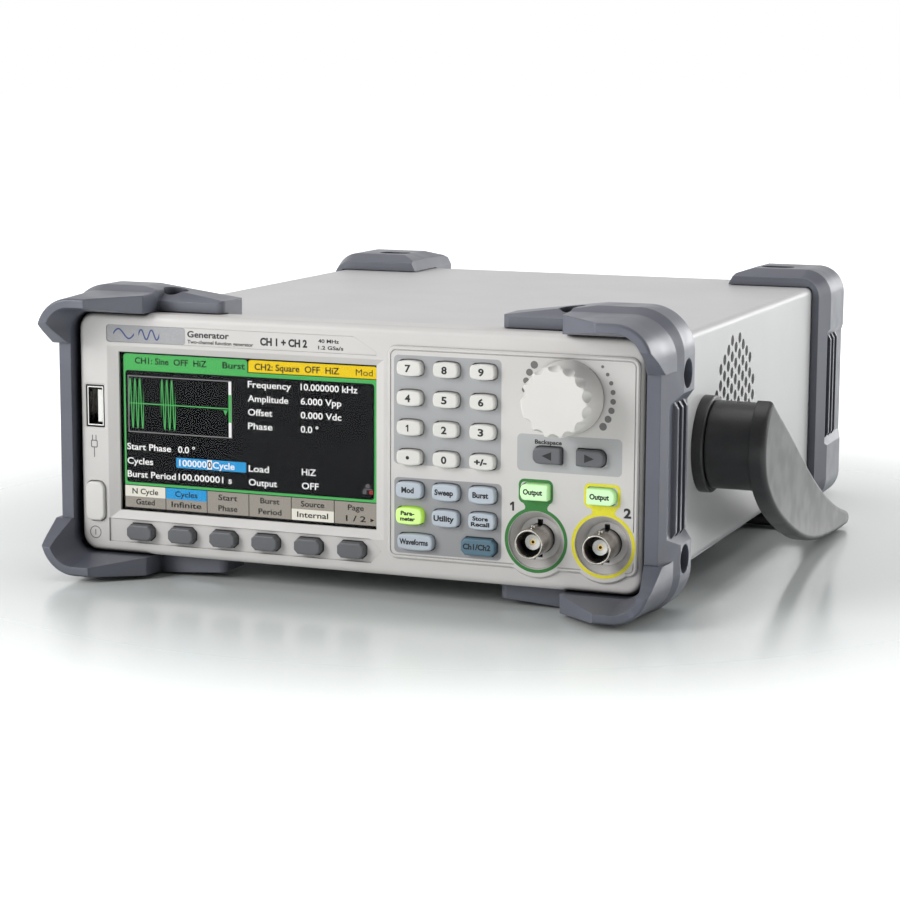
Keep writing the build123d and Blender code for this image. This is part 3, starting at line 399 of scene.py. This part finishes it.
SLOTS = {
    "front_plastic": front_plastic(),
    "lens": lens(),
    "display": display_frame(),
    "plated_steel": plated_steel(),
    "nickel": nickel(),
    "insulator": insulator(),
    "gold_contact": metal("gold_contact", (0.80, 0.57, 0.22), rough=0.22, streak=(1, 0.2, 1), size=0.5),
    "circuit_board": circuit_board(),
    "case_paint": case_paint(),
    "zinc_steel": metal("zinc_steel", (0.50, 0.51, 0.53), rough=0.42, streak=(0.3, 1, 1), size=5.0,
                        depth=0.006, soften=0.2),
    "black_plastic": moulded("black_plastic", (0.018, 0.018, 0.020), rough=0.42, mottle=0.10, soften=0.2),
    "bumper_rubber": bumper_rubber(),
    "black_steel": metal("black_steel", (0.045, 0.045, 0.05), rough=0.35, size=0.8),
    "handle_plastic": handle_plastic(),
    "knob_plastic": knob_plastic(),
    "white_key": key_cap("white_key", (0.69, 0.675, 0.645)),
    "dark_key": key_cap("dark_key", (0.115, 0.118, 0.128), rough=0.38),
    "function_key": key_cap("function_key", (0.47, 0.52, 0.58), rough=0.38),
    "channel_key": key_cap("channel_key", (0.085, 0.165, 0.225), rough=0.36),
    "lit_key": key_cap("lit_key", (0.45, 0.75, 0.12), glow_colour=(0.42, 0.75, 0.06), strength=0.4),
    "output_key": key_cap("output_key", (0.45, 0.75, 0.38), glow_colour=(0.38, 0.74, 0.26), strength=0.36),
}


def dress(node, shader):
    mesh = frame["nodes"][node].data
    mesh.materials.clear()
    mesh.materials.append(shader.material)


for part in frame["record"]["subparts"]:
    dress(part["node"], SLOTS[part["material_slot"]])
dress("control_plate", plate_plastic())

BLACK = ink("ink_black", (0.012, 0.012, 0.014))
GREY = ink("ink_grey", (0.155, 0.152, 0.148))
BADGE = ink("ink_badge", (0.36, 0.36, 0.375))
BLUE = ink("ink_blue", (0.04, 0.07, 0.22))
GREEN = ink("ink_green", (0.025, 0.19, 0.03))
YELLOW = ink("ink_yellow", (0.78, 0.70, 0.02))

# ---------------------------------------------------------------- printing
PANEL = Matrix(((MM, 0, 0, 0), (0, 0, -MM, 0), (0, MM, 0, 0), (0, 0, 0, 1)))   # drawing to front panel
BACK = Matrix(((-MM, 0, 0, 0), (0, 0, MM, 0), (0, MM, 0, 0), (0, 0, 0, 1)))    # drawing to rear panel
INK = 0.04                                   # thickness of printing, mm
SUNK = 0.03                                  # how far printing starts below its surface, mm
LINE_W = 0.34                                # width of thin printed lines, mm


def mesh_of(curve):
    holder = bpy.data.objects.new("holder", curve)
    mesh = bpy.data.meshes.new_from_object(holder)
    bpy.data.objects.remove(holder)
    bpy.data.curves.remove(curve)
    return mesh


def text_curve(text, size):
    curve = bpy.data.curves.new("text", "FONT")
    curve.body = text
    curve.size = size
    curve.resolution_u = 3
    return curve


def text_extent(text, size, axis):
    """Lowest and highest coordinate of a text along one axis."""
    mesh = mesh_of(text_curve(text, size))
    values = [v.co[axis] for v in mesh.vertices]
    bpy.data.meshes.remove(mesh)
    return min(values), max(values)


CAPITAL = text_extent("H", 1.0, 1)[1]        # height of a capital letter set at size 1


class Printing:
    """Thin closed shapes of ink gathered into one piece that rides on one body."""

    def __init__(self, name, surface, body=ROOT, turn=PANEL):
        self.name, self.body = name, body
        self.place = Matrix.Translation((0, surface, 0)) @ turn
        self.bm = bmesh.new()
        self.materials = []

    def take(self, curve, material, layer, move=Matrix()):
        curve.extrude = (INK + SUNK) / 2
        mesh = mesh_of(curve)
        mesh.transform(Matrix.Translation((0, 0, layer * INK + (INK - SUNK) / 2)) @ move)
        if material not in self.materials:
            self.materials.append(material)
        known = len(self.bm.faces)
        self.bm.from_mesh(mesh)
        self.bm.faces.ensure_lookup_table()
        for face in self.bm.faces[known:]:
            face.material_index = self.materials.index(material)
        bpy.data.meshes.remove(mesh)

    def shape(self, material, *loops, layer=0):
        """A filled outline; further outlines inside it are holes."""
        curve = bpy.data.curves.new("outline", "CURVE")
        curve.dimensions, curve.fill_mode = "2D", "BOTH"
        for loop in loops:
            spline = curve.splines.new("POLY")
            spline.points.add(len(loop) - 1)
            for point, (x, z) in zip(spline.points, loop):
                point.co = (x, z, 0, 1)
            spline.use_cyclic_u = True
        self.take(curve, material, layer)

    def words(self, material, text, x, z, capital, width, align="LEFT", bold=0.0, layer=0):
        """Lettering: left end or middle at x, base line at z, with a capital's height and a whole width."""
        size = capital / CAPITAL
        left, right = text_extent(text, size, 0)
        squeeze = width / (right - left)
        start = x - squeeze * (left if align == "LEFT" else (left + right) / 2)
        curve = text_curve(text, size)
        curve.offset = bold
        move = Matrix.Translation((start, z, 0)) @ Matrix.Diagonal((squeeze, 1, 1, 1))
        self.take(curve, material, layer, move)

    def finish(self):
        bmesh.ops.remove_doubles(self.bm, verts=self.bm.verts, dist=0.002)
        bmesh.ops.dissolve_degenerate(self.bm, edges=self.bm.edges, dist=0.001)
        bmesh.ops.recalc_face_normals(self.bm, faces=self.bm.faces)
        mesh = bpy.data.meshes.new(self.name)
        self.bm.to_mesh(mesh)
        self.bm.free()
        mesh.transform(self.place)
        for material in self.materials:
            mesh.materials.append(material)
        piece = bpy.data.objects.new(self.name, mesh)
        bpy.context.scene.collection.objects.link(piece)
        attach(piece, self.body)


def middle(node):
    """Middle of a node seen from the front, in panel millimetres, and its front face in metres."""
    low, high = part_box(node)
    return (low.x + high.x) / 2 / MM, (low.z + high.z) / 2 / MM, low.y


def numeral_one(printing, material, x, z, height, stroke):
    """An upright 1 with a flag; its stem's right side is three quarters of a stroke right of x."""
    right, left, top = x + stroke * 0.75, x - stroke * 0.25, z + height
    tip = left - 1.1 * stroke
    printing.shape(material, [(right, z), (right, top), (left + 0.15 * stroke, top), (tip, top - stroke),
                              (tip, top - 2.0 * stroke), (left, top - 1.45 * stroke), (left, z)])


# ---------------------------------------------------------------- legends on the keys
CAP_SHIFT = -0.3                             # legends sit a little left of their cap's middle
DIGIT_H = 2.25
DIGIT_W = 1.65
LEGENDS = (                                  # key, rows of (text, width, rise), capital, boldness
    ("sign", [("+/-", 4.0, -0.85)], 1.9, 0.13),
    ("mod", [("Mod", 4.2, -0.75)], 1.75, 0.1),
    ("sweep", [("Sweep", 6.3, -0.75)], 1.75, 0.1),
    ("burst", [("Burst", 5.3, -0.75)], 1.75, 0.1),
    ("utility", [("Utility", 6.9, -0.75)], 1.75, 0.1),
    ("parameter", [("Para-", 4.7, 0.35), ("meter", 5.1, -1.5)], 1.3, 0.085),
    ("store", [("Store", 5.2, 0.35), ("Recall", 6.2, -1.55)], 1.3, 0.075),
    ("waveforms", [("Waveforms", 9.9, -0.75)], 1.75, 0.09),
    ("channel", [("Ch1/Ch2", 9.4, -0.75)], 1.75, 0.1),
    ("output_1", [("Output", 6.4, -0.7)], 1.65, 0.1),
    ("output_2", [("Output", 6.4, -0.7)], 1.65, 0.1),
)


def drawn_legend(name, draw):
    """A piece printed on a key's cap by draw(printing, x, z), where x and z are the cap's middle."""
    x, z, face = middle(f"key_{name}")
    printing = Printing(f"legend_key_{name}", face, f"key_{name}_body")
    draw(printing, x, z)
    printing.finish()


def written_legend(name, rows, capital, bold):
    """Rows of (text, width, height above the key's middle) printed on a key's cap."""
    def draw(printing, x, z):
        for text, width, rise in rows:
            printing.words(BLACK, text, x + CAP_SHIFT, z + rise, capital, width, "CENTER", bold)

    drawn_legend(name, draw)


def draw_one(printing, x, z):
    numeral_one(printing, BLACK, x + CAP_SHIFT, z - DIGIT_H / 2, DIGIT_H, 0.44)


def draw_point(printing, x, z):
    printing.shape(BLACK, circle(x + CAP_SHIFT, z, 0.6, 20))


def draw_arrow(way):
    """An arrowhead pointing left (-1) or right (1)."""
    return lambda printing, x, z: printing.shape(
        BLACK, [(x + way * 1.5, z), (x - way * 1.75, z + 1.4), (x - way * 1.75, z - 1.4)])


for digit in "023456789":
    written_legend(digit, [(digit, DIGIT_W, -DIGIT_H / 2)], DIGIT_H, 0.11)
drawn_legend("1", draw_one)
for name, rows, capital, bold in LEGENDS:
    written_legend(name, rows, capital, bold)
drawn_legend("point", draw_point)
drawn_legend("left", draw_arrow(-1))
drawn_legend("right", draw_arrow(1))

# ---------------------------------------------------------------- prints on the control plate
OUTPUTS = [m["pos_m"] for m in frame["record"]["mounts"] if m["name"].startswith("output")]
RING_R, RING_HOLE = 10.75, 9.65
NECK = 4.0                                   # half width of the neck between a ring and its key's frame
FRAME_UP, FRAME_CORNER = 4.0, 1.9            # half height and corners of the frame round an output key
WINDOW = (5.15, 3.05, 1.2)                   # half width, half height and corners of the hole for the key


def output_frame(name, x, z, key, half, tone):
    """A ring round an output socket, joined by a neck to a frame round its key."""
    kx, kz, _ = middle(key)
    left, right, bottom, top, r = kx - half, kx + half, kz - FRAME_UP, kz + FRAME_UP, FRAME_CORNER
    open_angle = degrees(asin(NECK / RING_R))
    ring = arc(x, z, RING_R, 90 + open_angle, 450 - open_angle, 60)
    waist = (bottom + ring[0][1]) / 2
    outline = ring + bend(ring[-1], (x + NECK - 0.6, waist), (x + NECK + 0.5, bottom))
    outline += arc(right - r, bottom + r, r, 270, 360, CORNER_STEPS)
    outline += arc(right - r, top - r, r, 0, 90, CORNER_STEPS)
    outline += arc(left + r, top - r, r, 90, 180, CORNER_STEPS)
    outline += arc(left + r, bottom + r, r, 180, 270, CORNER_STEPS)
    outline += bend((x - NECK - 0.5, bottom), (x - NECK + 0.6, waist), ring[0])[:-1]
    half_w, half_h, corner = WINDOW
    printing = Printing(name, PLATE_Y)
    printing.shape(tone, outline, circle(x, z, RING_HOLE),
                   rounded(kx - half_w, kx + half_w, kz - half_h, kz + half_h, corner))
    printing.finish()


def output_numbers():
    """1 and 2 beside the output rings, and the word over the left arrow key."""
    (x1, _, z1), (x2, _, z2) = [[v / MM for v in place] for place in OUTPUTS]
    left_x, left_z, _ = middle("key_left")
    numbers = Printing("output_numbers", PLATE_Y)
    numeral_one(numbers, BLACK, x1 - 8.1, z1 + 9.2, 3.0, 0.66)
    numbers.words(BLACK, "2", x2 + 7.95, z2 + 9.6, 2.9, 2.1, "CENTER", 0.17)
    numbers.words(BLACK, "Backspace", left_x - 0.1, left_z + 3.5, 1.3, 9.0, "CENTER", 0.06)
    numbers.finish()


DOTS, DOT_STEP, DOT_RING = 8, 11.4, 14.95    # dots in each half of the scale, degrees apart, on this radius
FIRST_DOTS = (41.2, 221.2)                   # angle of the smallest dot of each half, degrees
SMALL_DOT, DOT_GROWTH = 0.5, 0.75            # smallest dot's radius, and what the largest has more
SCALE_RISE = 0.5                             # the scale sits a little above the knob's middle


def knob_scale():
    """Two arcs of growing dots round the tuning knob."""
    x, z, _ = middle("tuning_knob")
    scale = Printing("knob_scale", PLATE_Y)
    for i in range(DOTS):
        for first in FIRST_DOTS:
            a = radians(first - DOT_STEP * i)
            radius = SMALL_DOT + DOT_GROWTH * i / (DOTS - 1)
            scale.shape(GREY, circle(x + DOT_RING * cos(a), z + SCALE_RISE + DOT_RING * sin(a), radius, 24))
    scale.finish()


for number, place, tone, half in zip("12", OUTPUTS, (GREEN, YELLOW), (5.85, 6.1)):
    output_frame(f"output_frame_{number}", place[0] / MM, place[2] / MM, f"key_output_{number}", half, tone)
output_numbers()
knob_scale()

# ---------------------------------------------------------------- prints on the front frame
STRIP_Y = FACE_Y + 0.3 * MM                  # floor of the name strip's recess
BADGE_BOX = (-90.75, -60.8, 81.55, 87.25, 1.0)
STRIP_TEXTS = (                              # text, left end, base line, capital, width, boldness
    ("Generator", -59.9, 84.3, 2.05, 15.5, 0.07),
    ("Two-channel function generator", -59.9, 82.2, 1.15, 24.6, 0.035),
    ("CH 1 + CH 2", -32.6, 82.9, 2.35, 17.0, 0.15),
    ("40 MHz", -11.4, 84.7, 1.15, 7.4, 0.04),
    ("1.2 GSa/s", -11.4, 82.5, 1.15, 9.0, 0.04),
)


def name_strip():
    """A badge with one and two waves, and what the instrument is."""
    strip = Printing("name_strip_print", STRIP_Y)
    strip.shape(BADGE, rounded(*BADGE_BOX))
    strip.shape(BLUE, wave(-88.3, -80.3, 84.4, 1.6, 1, 0.5), layer=1)
    strip.shape(BLUE, wave(-78.6, -70.6, 84.4, 1.6, 2, 0.5), layer=1)
    for text, x, z, capital, width, bold in STRIP_TEXTS:
        strip.words(BLACK, text, x, z, capital, width, bold=bold)
    strip.finish()


def front_symbols():
    """A plug below the USB socket and a ringed bar below the power button."""
    x, z, _ = middle("front_usb_socket")
    x, z = x - 0.4, z - 13.8                 # middle of the plug symbol
    signs = Printing("front_symbols", FACE_Y)
    signs.shape(GREY, bar((x, z - 4.0), (x, z - 0.6), LINE_W))
    signs.shape(GREY, rounded(x - 1.3, x + 1.3, z - 0.7, z + 2.0, 0.5),
                rounded(x - 0.95, x + 0.95, z - 0.35, z + 1.65, 0.3))
    for side in (-0.7, 0.7):
        signs.shape(GREY, bar((x + side, z + 1.9), (x + side, z + 3.7), LINE_W))
    x, z, _ = middle("power_button")
    x, z = x - 0.5, z - 11.1                 # middle of the power symbol
    signs.shape(GREY, circle(x, z, 2.2), circle(x, z, 1.92))
    signs.shape(GREY, bar((x, z - 0.95), (x, z + 0.95), LINE_W))
    signs.finish()


# text, how far right of the centre as seen from behind, base line, capital, width
REAR_TEXTS = (
    ("AUX IN/OUT", 8.0, 75.5, 1.5, 11.5), ("COUNTER", 25.0, 75.5, 1.5, 11.5),
    ("10 MHz IN", 42.0, 75.5, 1.5, 11.5), ("10 MHz OUT", 59.0, 75.5, 1.5, 11.5),
    ("LAN", 34.0, 39.5, 1.7, 4.6), ("USB", 8.0, 38.4, 1.7, 4.6),
)


def rear_panel_print():
    rear = Printing("rear_panel_print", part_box("rear_panel")[1].y, turn=BACK)
    for text, x, z, capital, width in REAR_TEXTS:
        rear.words(BLACK, text, x, z, capital, width, "CENTER", 0.05)
    rear.finish()


name_strip()
front_symbols()
rear_panel_print()

# ---------------------------------------------------------------- picture on the display
LIT_W, LIT_H = 95.04, 53.86                  # lit area of a 4.3 inch display, mm
LCD_DEPTH = 0.2                              # lit area behind the front of the module's frame, mm
LCD_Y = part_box("lcd_module")[0].y + LCD_DEPTH * MM

LCD_BLACK = glow("lcd_black", (0.002, 0.002, 0.003))
LCD_GREY = glow("lcd_grey", (0.23, 0.22, 0.23))
LCD_GREEN = glow("lcd_green", (0.085, 0.48, 0.12))
LCD_YELLOW = glow("lcd_yellow", (0.90, 0.63, 0.012))
LCD_WHITE = glow("lcd_white", (0.92, 0.92, 0.92))
LCD_BLUE = glow("lcd_blue", (0.03, 0.34, 0.72))
LCD_TAUPE = glow("lcd_taupe", (0.34, 0.31, 0.27))
LCD_CREAM = glow("lcd_cream", (0.82, 0.79, 0.70))
LCD_INK = glow("lcd_ink", (0.02, 0.02, 0.02))
LCD_RED = glow("lcd_red", (0.60, 0.06, 0.05))


class Screen(Printing):
    """Printing laid out from the lower left corner of the display's lit area."""

    def __init__(self, name):
        super().__init__(name, LCD_Y)
        x, z, _ = middle("screen_lens")
        self.place = self.place @ Matrix.Translation((x - LIT_W / 2, z - LIT_H / 2, 0))


FRAME_L, FRAME_R, FRAME_B, FRAME_T = 0.1, 94.7, 8.0, 49.2     # frame round the readings
TAB_SPLIT, TAB_TOP, TAB_R = 47.35, 53.6, 1.2                  # the two channel tabs on its top edge
SOFT_TOP, SOFT_STEP, SOFT_GAP = 7.7, 15.86, 0.3               # cells over the soft keys
HALF_UP = 3.9                                                 # height where a cell splits in two
EDGES = [0.1 + SOFT_STEP * i for i in range(7)]
LIT_CELLS = (                                                 # column, low, high, colour
    (0, HALF_UP, SOFT_TOP, LCD_CREAM), (1, HALF_UP, SOFT_TOP, LCD_BLUE), (4, 0.1, HALF_UP, LCD_CREAM),
)


def display_ground():
    ground = Screen("display_ground")
    ground.shape(LCD_BLACK, rounded(0, LIT_W, 0, LIT_H))
    ground.finish()


def display_panels():
    """Coloured frame and tabs, box of the trace, field of the chosen value, cells over the soft keys."""
    panels = Screen("display_panels")
    tab = (arc(TAB_SPLIT - TAB_R, TAB_TOP - TAB_R, TAB_R, 0, 90, CORNER_STEPS)
           + arc(FRAME_L + TAB_R, TAB_TOP - TAB_R, TAB_R, 90, 180, CORNER_STEPS))
    frame_edge = [(FRAME_L, FRAME_B), (FRAME_R, FRAME_B), (FRAME_R, FRAME_T), (TAB_SPLIT, FRAME_T)]
    panels.shape(LCD_GREEN, frame_edge + tab, rounded(0.75, 93.9, 8.85, 47.9, 1.2), layer=1)
    panels.shape(LCD_YELLOW, rounded(TAB_SPLIT + 0.4, 94.9, 49.5, TAB_TOP, 1.0, "top"), layer=1)
    panels.shape(LCD_GREY, rounded(1.7, 41.4, 26.4, 46.1), rounded(2.05, 41.05, 26.75, 45.75), layer=1)
    panels.shape(LCD_BLUE, rounded(20.0, 46.6, 15.0, 18.5, 0.4), layer=1)
    for left, right in zip(EDGES, EDGES[1:]):
        panels.shape(LCD_TAUPE, rounded(left, right - SOFT_GAP, 0.1, SOFT_TOP), layer=1)
    for column, low, high, tone in LIT_CELLS:
        panels.shape(tone, rounded(EDGES[column], EDGES[column + 1] - SOFT_GAP, low, high), layer=2)
    panels.finish()


BASE, SWING, PACKET = 36.5, 7.6, 5.6         # trace's base line, height above it, width of one burst
LINE = 0.34                                  # width of the trace


def display_trace():
    """Two bursts on a base line, its end marker, and the level bar at the box's right edge."""
    trace = Screen("display_trace")
    trace.shape(LCD_GREEN, bar((2.0, BASE), (40.1, BASE), 0.35), layer=1)
    for start in (2.1, 14.4):
        trace.shape(LCD_GREEN, wave(start, start + PACKET, BASE, SWING, 3, LINE), layer=2)
    trace.shape(LCD_GREEN, [(38.2, 35.9), (39.0, 34.2), (39.8, 35.9)], layer=1)
    for low, high, tone in ((26.7, 31.8, LCD_WHITE), (31.8, 41.3, LCD_GREEN), (41.3, 45.8, LCD_WHITE)):
        trace.shape(tone, rounded(40.2, 41.2, low, high), layer=2)
    trace.finish()


CAP_H = 2.15                                 # capitals of the readings
TAB_CAP_H = 2.1                              # capitals on the tabs
TABS = (                                     # text, left end, base line, width, boldness
    ("CH1: Sine  OFF  HiZ", 4.6, 50.3, 27.3, 0.06), ("Burst", 38.1, 50.3, 8.3, 0.06),
    ("CH2: Square  OFF  HiZ", 50.1, 50.4, 31.0, 0.06), ("Mod", 87.2, 50.4, 6.1, 0.0),
)
READINGS = (                                 # left end, base line, text, width
    (1.1, 20.3, "Start Phase", 16.9), (20.8, 20.3, "0.0 °", 6.4),
    (1.1, 15.3, "Cycles", 9.9), (1.1, 10.7, "Burst Period", 18.6), (20.9, 10.8, "100.000001 s", 20.2),
    (47.5, 44.3, "Frequency", 16.0), (67.1, 44.4, "10.000000 kHz", 20.6),
    (47.5, 39.5, "Amplitude", 14.9), (67.1, 39.6, "6.000 Vpp", 14.8),
    (47.5, 34.8, "Offset", 9.0), (67.1, 34.9, "0.000 Vdc", 14.8),
    (47.5, 30.1, "Phase", 9.0), (67.1, 30.1, "0.0 °", 6.4),
    (47.6, 15.5, "Load", 7.5), (67.4, 15.6, "HiZ", 5.1),
    (47.6, 10.8, "Output", 10.5), (67.4, 10.9, "OFF", 6.1),
)
CHOSEN_Z, CHOSEN_BOLD = 15.7, 0.055          # base line and boldness of the chosen value
SOFT_LABELS = (("N Cycle", "Gated"), ("Cycles", "Infinite"), ("Start", "Phase"), ("Burst", "Period"),
               ("Source", "Internal"), ("Page", "1 / 2"))
SOFT_CAP_H, SOFT_LETTER_W = 1.85, 1.42       # capitals on the cells, and the width that each letter takes


def chosen_value(readout):
    """The number being set, with its cursor on the last digit."""
    readout.words(LCD_WHITE, "100000", 21.2, CHOSEN_Z, CAP_H, 10.4, bold=CHOSEN_BOLD, layer=2)
    readout.shape(LCD_WHITE, rounded(31.9, 33.7, 15.2, 18.4), layer=2)
    readout.words(LCD_INK, "0", 32.1, CHOSEN_Z, CAP_H, 1.4, bold=CHOSEN_BOLD, layer=3)
    readout.words(LCD_WHITE, "Cycle", 34.0, CHOSEN_Z, CAP_H, 8.2, bold=CHOSEN_BOLD, layer=2)


def network_sign(readout):
    """Three little boxes joined by a line, in the lower right corner."""
    for x, z, tone in ((89.7, 10.8, LCD_GREY), (92.1, 10.8, LCD_RED), (90.9, 12.9, LCD_GREY)):
        hole = rounded(x + 0.3, x + 0.9, z + 0.3, z + 0.8)
        readout.shape(tone, rounded(x, x + 1.2, z, z + 1.1), hole, layer=1)
    readout.shape(LCD_GREY, bar((89.9, 12.35), (93.1, 12.35), 0.25), layer=1)


def display_text():
    readout = Screen("display_text")
    for text, x, z, width, bold in TABS:
        readout.words(LCD_INK, text, x, z, TAB_CAP_H, width, bold=bold, layer=2)
    for x, z, text, width in READINGS:
        readout.words(LCD_WHITE, text, x, z, CAP_H, width, bold=0.045, layer=1)
    chosen_value(readout)
    for column, (upper, lower) in enumerate(SOFT_LABELS):
        centre = (EDGES[column] + EDGES[column + 1] - SOFT_GAP) / 2
        for text, z in ((upper, 4.9), (lower, 1.2)):
            width = len(text) * SOFT_LETTER_W
            readout.words(LCD_INK, text, centre, z, SOFT_CAP_H, width, "CENTER", 0.045, layer=3)
    readout.shape(LCD_INK, [(92.5, 2.6), (92.5, 1.3), (93.9, 1.95)], layer=3)
    network_sign(readout)
    readout.finish()


display_ground()
display_panels()
display_trace()
display_text()

# ---------------------------------------------------------------- room
GROUND_Z = cad_box[0].z
FLOOR_R = 9.0


def stage_floor():
    """A large pale floor: glossy round the instrument, matt and brighter further off."""
    s = Shader("floor")
    length = s.add("ShaderNodeVectorMath", {"operation": "LENGTH"})
    s.put(length.inputs[0], s.place)
    far = length.outputs["Value"]
    s.set(Base_Color=s.mix(s.between(s.noise(500, 2), 0.3, 0.7), (0.70, 0.74, 0.725), (0.73, 0.765, 0.755)),
          Roughness=s.between(far, 0.14, 0.30, 0.12, 0.45), Emission_Color=(1.0, 1.0, 1.0),
          Specular_IOR_Level=s.between(far, 0.16, 0.34, 0.6, 0.0),
          Emission_Strength=s.between(far, 0.15, 0.36, 0.0, 0.75))
    bm = bmesh.new()
    bmesh.ops.create_circle(bm, cap_ends=True, segments=96, radius=FLOOR_R)
    mesh = bpy.data.meshes.new("floor")
    bm.to_mesh(mesh)
    bm.free()
    mesh.materials.append(s.material)
    floor = bpy.data.objects.new("floor", mesh)
    floor.location.z = GROUND_Z
    bpy.context.scene.collection.objects.link(floor)


SKY_FADES = (                                # axis, where the fade starts and ends, strength at each
    ("Z", 0.12, 0.6, 1.0, 0.55),
    ("Y", -0.35, 0.3, 0.38, 1.0),
)


def studio_sky():
    """A white surround, dimmer overhead and in front so that faces turned that way are shaded."""
    world = bpy.data.worlds.new("studio")
    bpy.context.scene.world = world
    world.use_nodes = True
    nodes, links = world.node_tree.nodes, world.node_tree.links
    split = nodes.new("ShaderNodeSeparateXYZ")
    links.new(nodes.new("ShaderNodeTexCoord").outputs["Generated"], split.inputs[0])
    both = nodes.new("ShaderNodeMath")
    both.operation = "MULTIPLY"
    for factor, (axis, start, end, first, last) in zip(both.inputs, SKY_FADES):
        fade = nodes.new("ShaderNodeMapRange")
        fade.interpolation_type = "SMOOTHSTEP"
        for name, value in (("From Min", start), ("From Max", end), ("To Min", first), ("To Max", last)):
            fade.inputs[name].default_value = value
        links.new(split.outputs[axis], fade.inputs["Value"])
        links.new(fade.outputs[0], factor)
    links.new(both.outputs[0], nodes["Background"].inputs["Strength"])
    nodes["Background"].inputs["Color"].default_value = (1, 1, 1, 1)


SOFTBOX_AIM = Vector((0, 0, 0.05))
SOFTBOXES = (                                # name, place, width and height, watts
    ("key_softbox", (-1.0, -1.2, 0.75), (0.8, 0.8), 18),
    ("top_softbox", (0.0, 0.1, 1.5), (1.2, 0.9), 5),
    ("side_softbox", (1.3, 0.5, 0.6), (0.5, 0.9), 4),
    ("back_softbox", (0.75, 1.5, 0.35), (0.5, 0.5), 5),
)


def softbox(name, at, size, watts):
    light = bpy.data.lights.new(name, "AREA")
    light.shape, light.size, light.size_y, light.energy = "RECTANGLE", size[0], size[1], watts
    lamp = bpy.data.objects.new(name, light)
    lamp.location = at
    lamp.rotation_mode = "QUATERNION"
    lamp.rotation_quaternion = (SOFTBOX_AIM - Vector(at)).to_track_quat("-Z", "Y")
    bpy.context.scene.collection.objects.link(lamp)


stage_floor()
studio_sky()
for name, at, size, watts in SOFTBOXES:
    softbox(name, at, size, watts)

# ---------------------------------------------------------------- camera
AZIMUTH, ELEVATION, ROLL = radians(21.40), radians(9.12), radians(0.28)
CAMERA_AT = Vector((0.3284, -0.87105, 0.1805))
SENSOR, FOCAL_LENGTH = 36.0, 99.63           # mm
NEAR, FAR = 0.05, 30.0


def place_camera():
    """Camera turned by an azimuth round the instrument, an elevation, and a little roll."""
    camera = bpy.data.objects.new("camera", bpy.data.cameras.new("camera"))
    camera.data.sensor_width, camera.data.lens = SENSOR, FOCAL_LENGTH
    camera.data.clip_start, camera.data.clip_end = NEAR, FAR
    away = Vector((sin(AZIMUTH) * cos(ELEVATION), -cos(AZIMUTH) * cos(ELEVATION), sin(ELEVATION)))
    level = away.cross(Vector((0, 0, 1))).normalized() * -1
    upright = away.cross(level)
    right = cos(ROLL) * level + sin(ROLL) * upright
    up = -sin(ROLL) * level + cos(ROLL) * upright
    camera.matrix_world = Matrix((
        (right.x, up.x, away.x, CAMERA_AT.x),
        (right.y, up.y, away.y, CAMERA_AT.y),
        (right.z, up.z, away.z, CAMERA_AT.z),
        (0, 0, 0, 1)))
    bpy.context.scene.collection.objects.link(camera)
    bpy.context.scene.camera = camera


place_camera()
bpy.context.scene.view_settings.view_transform = "Standard"
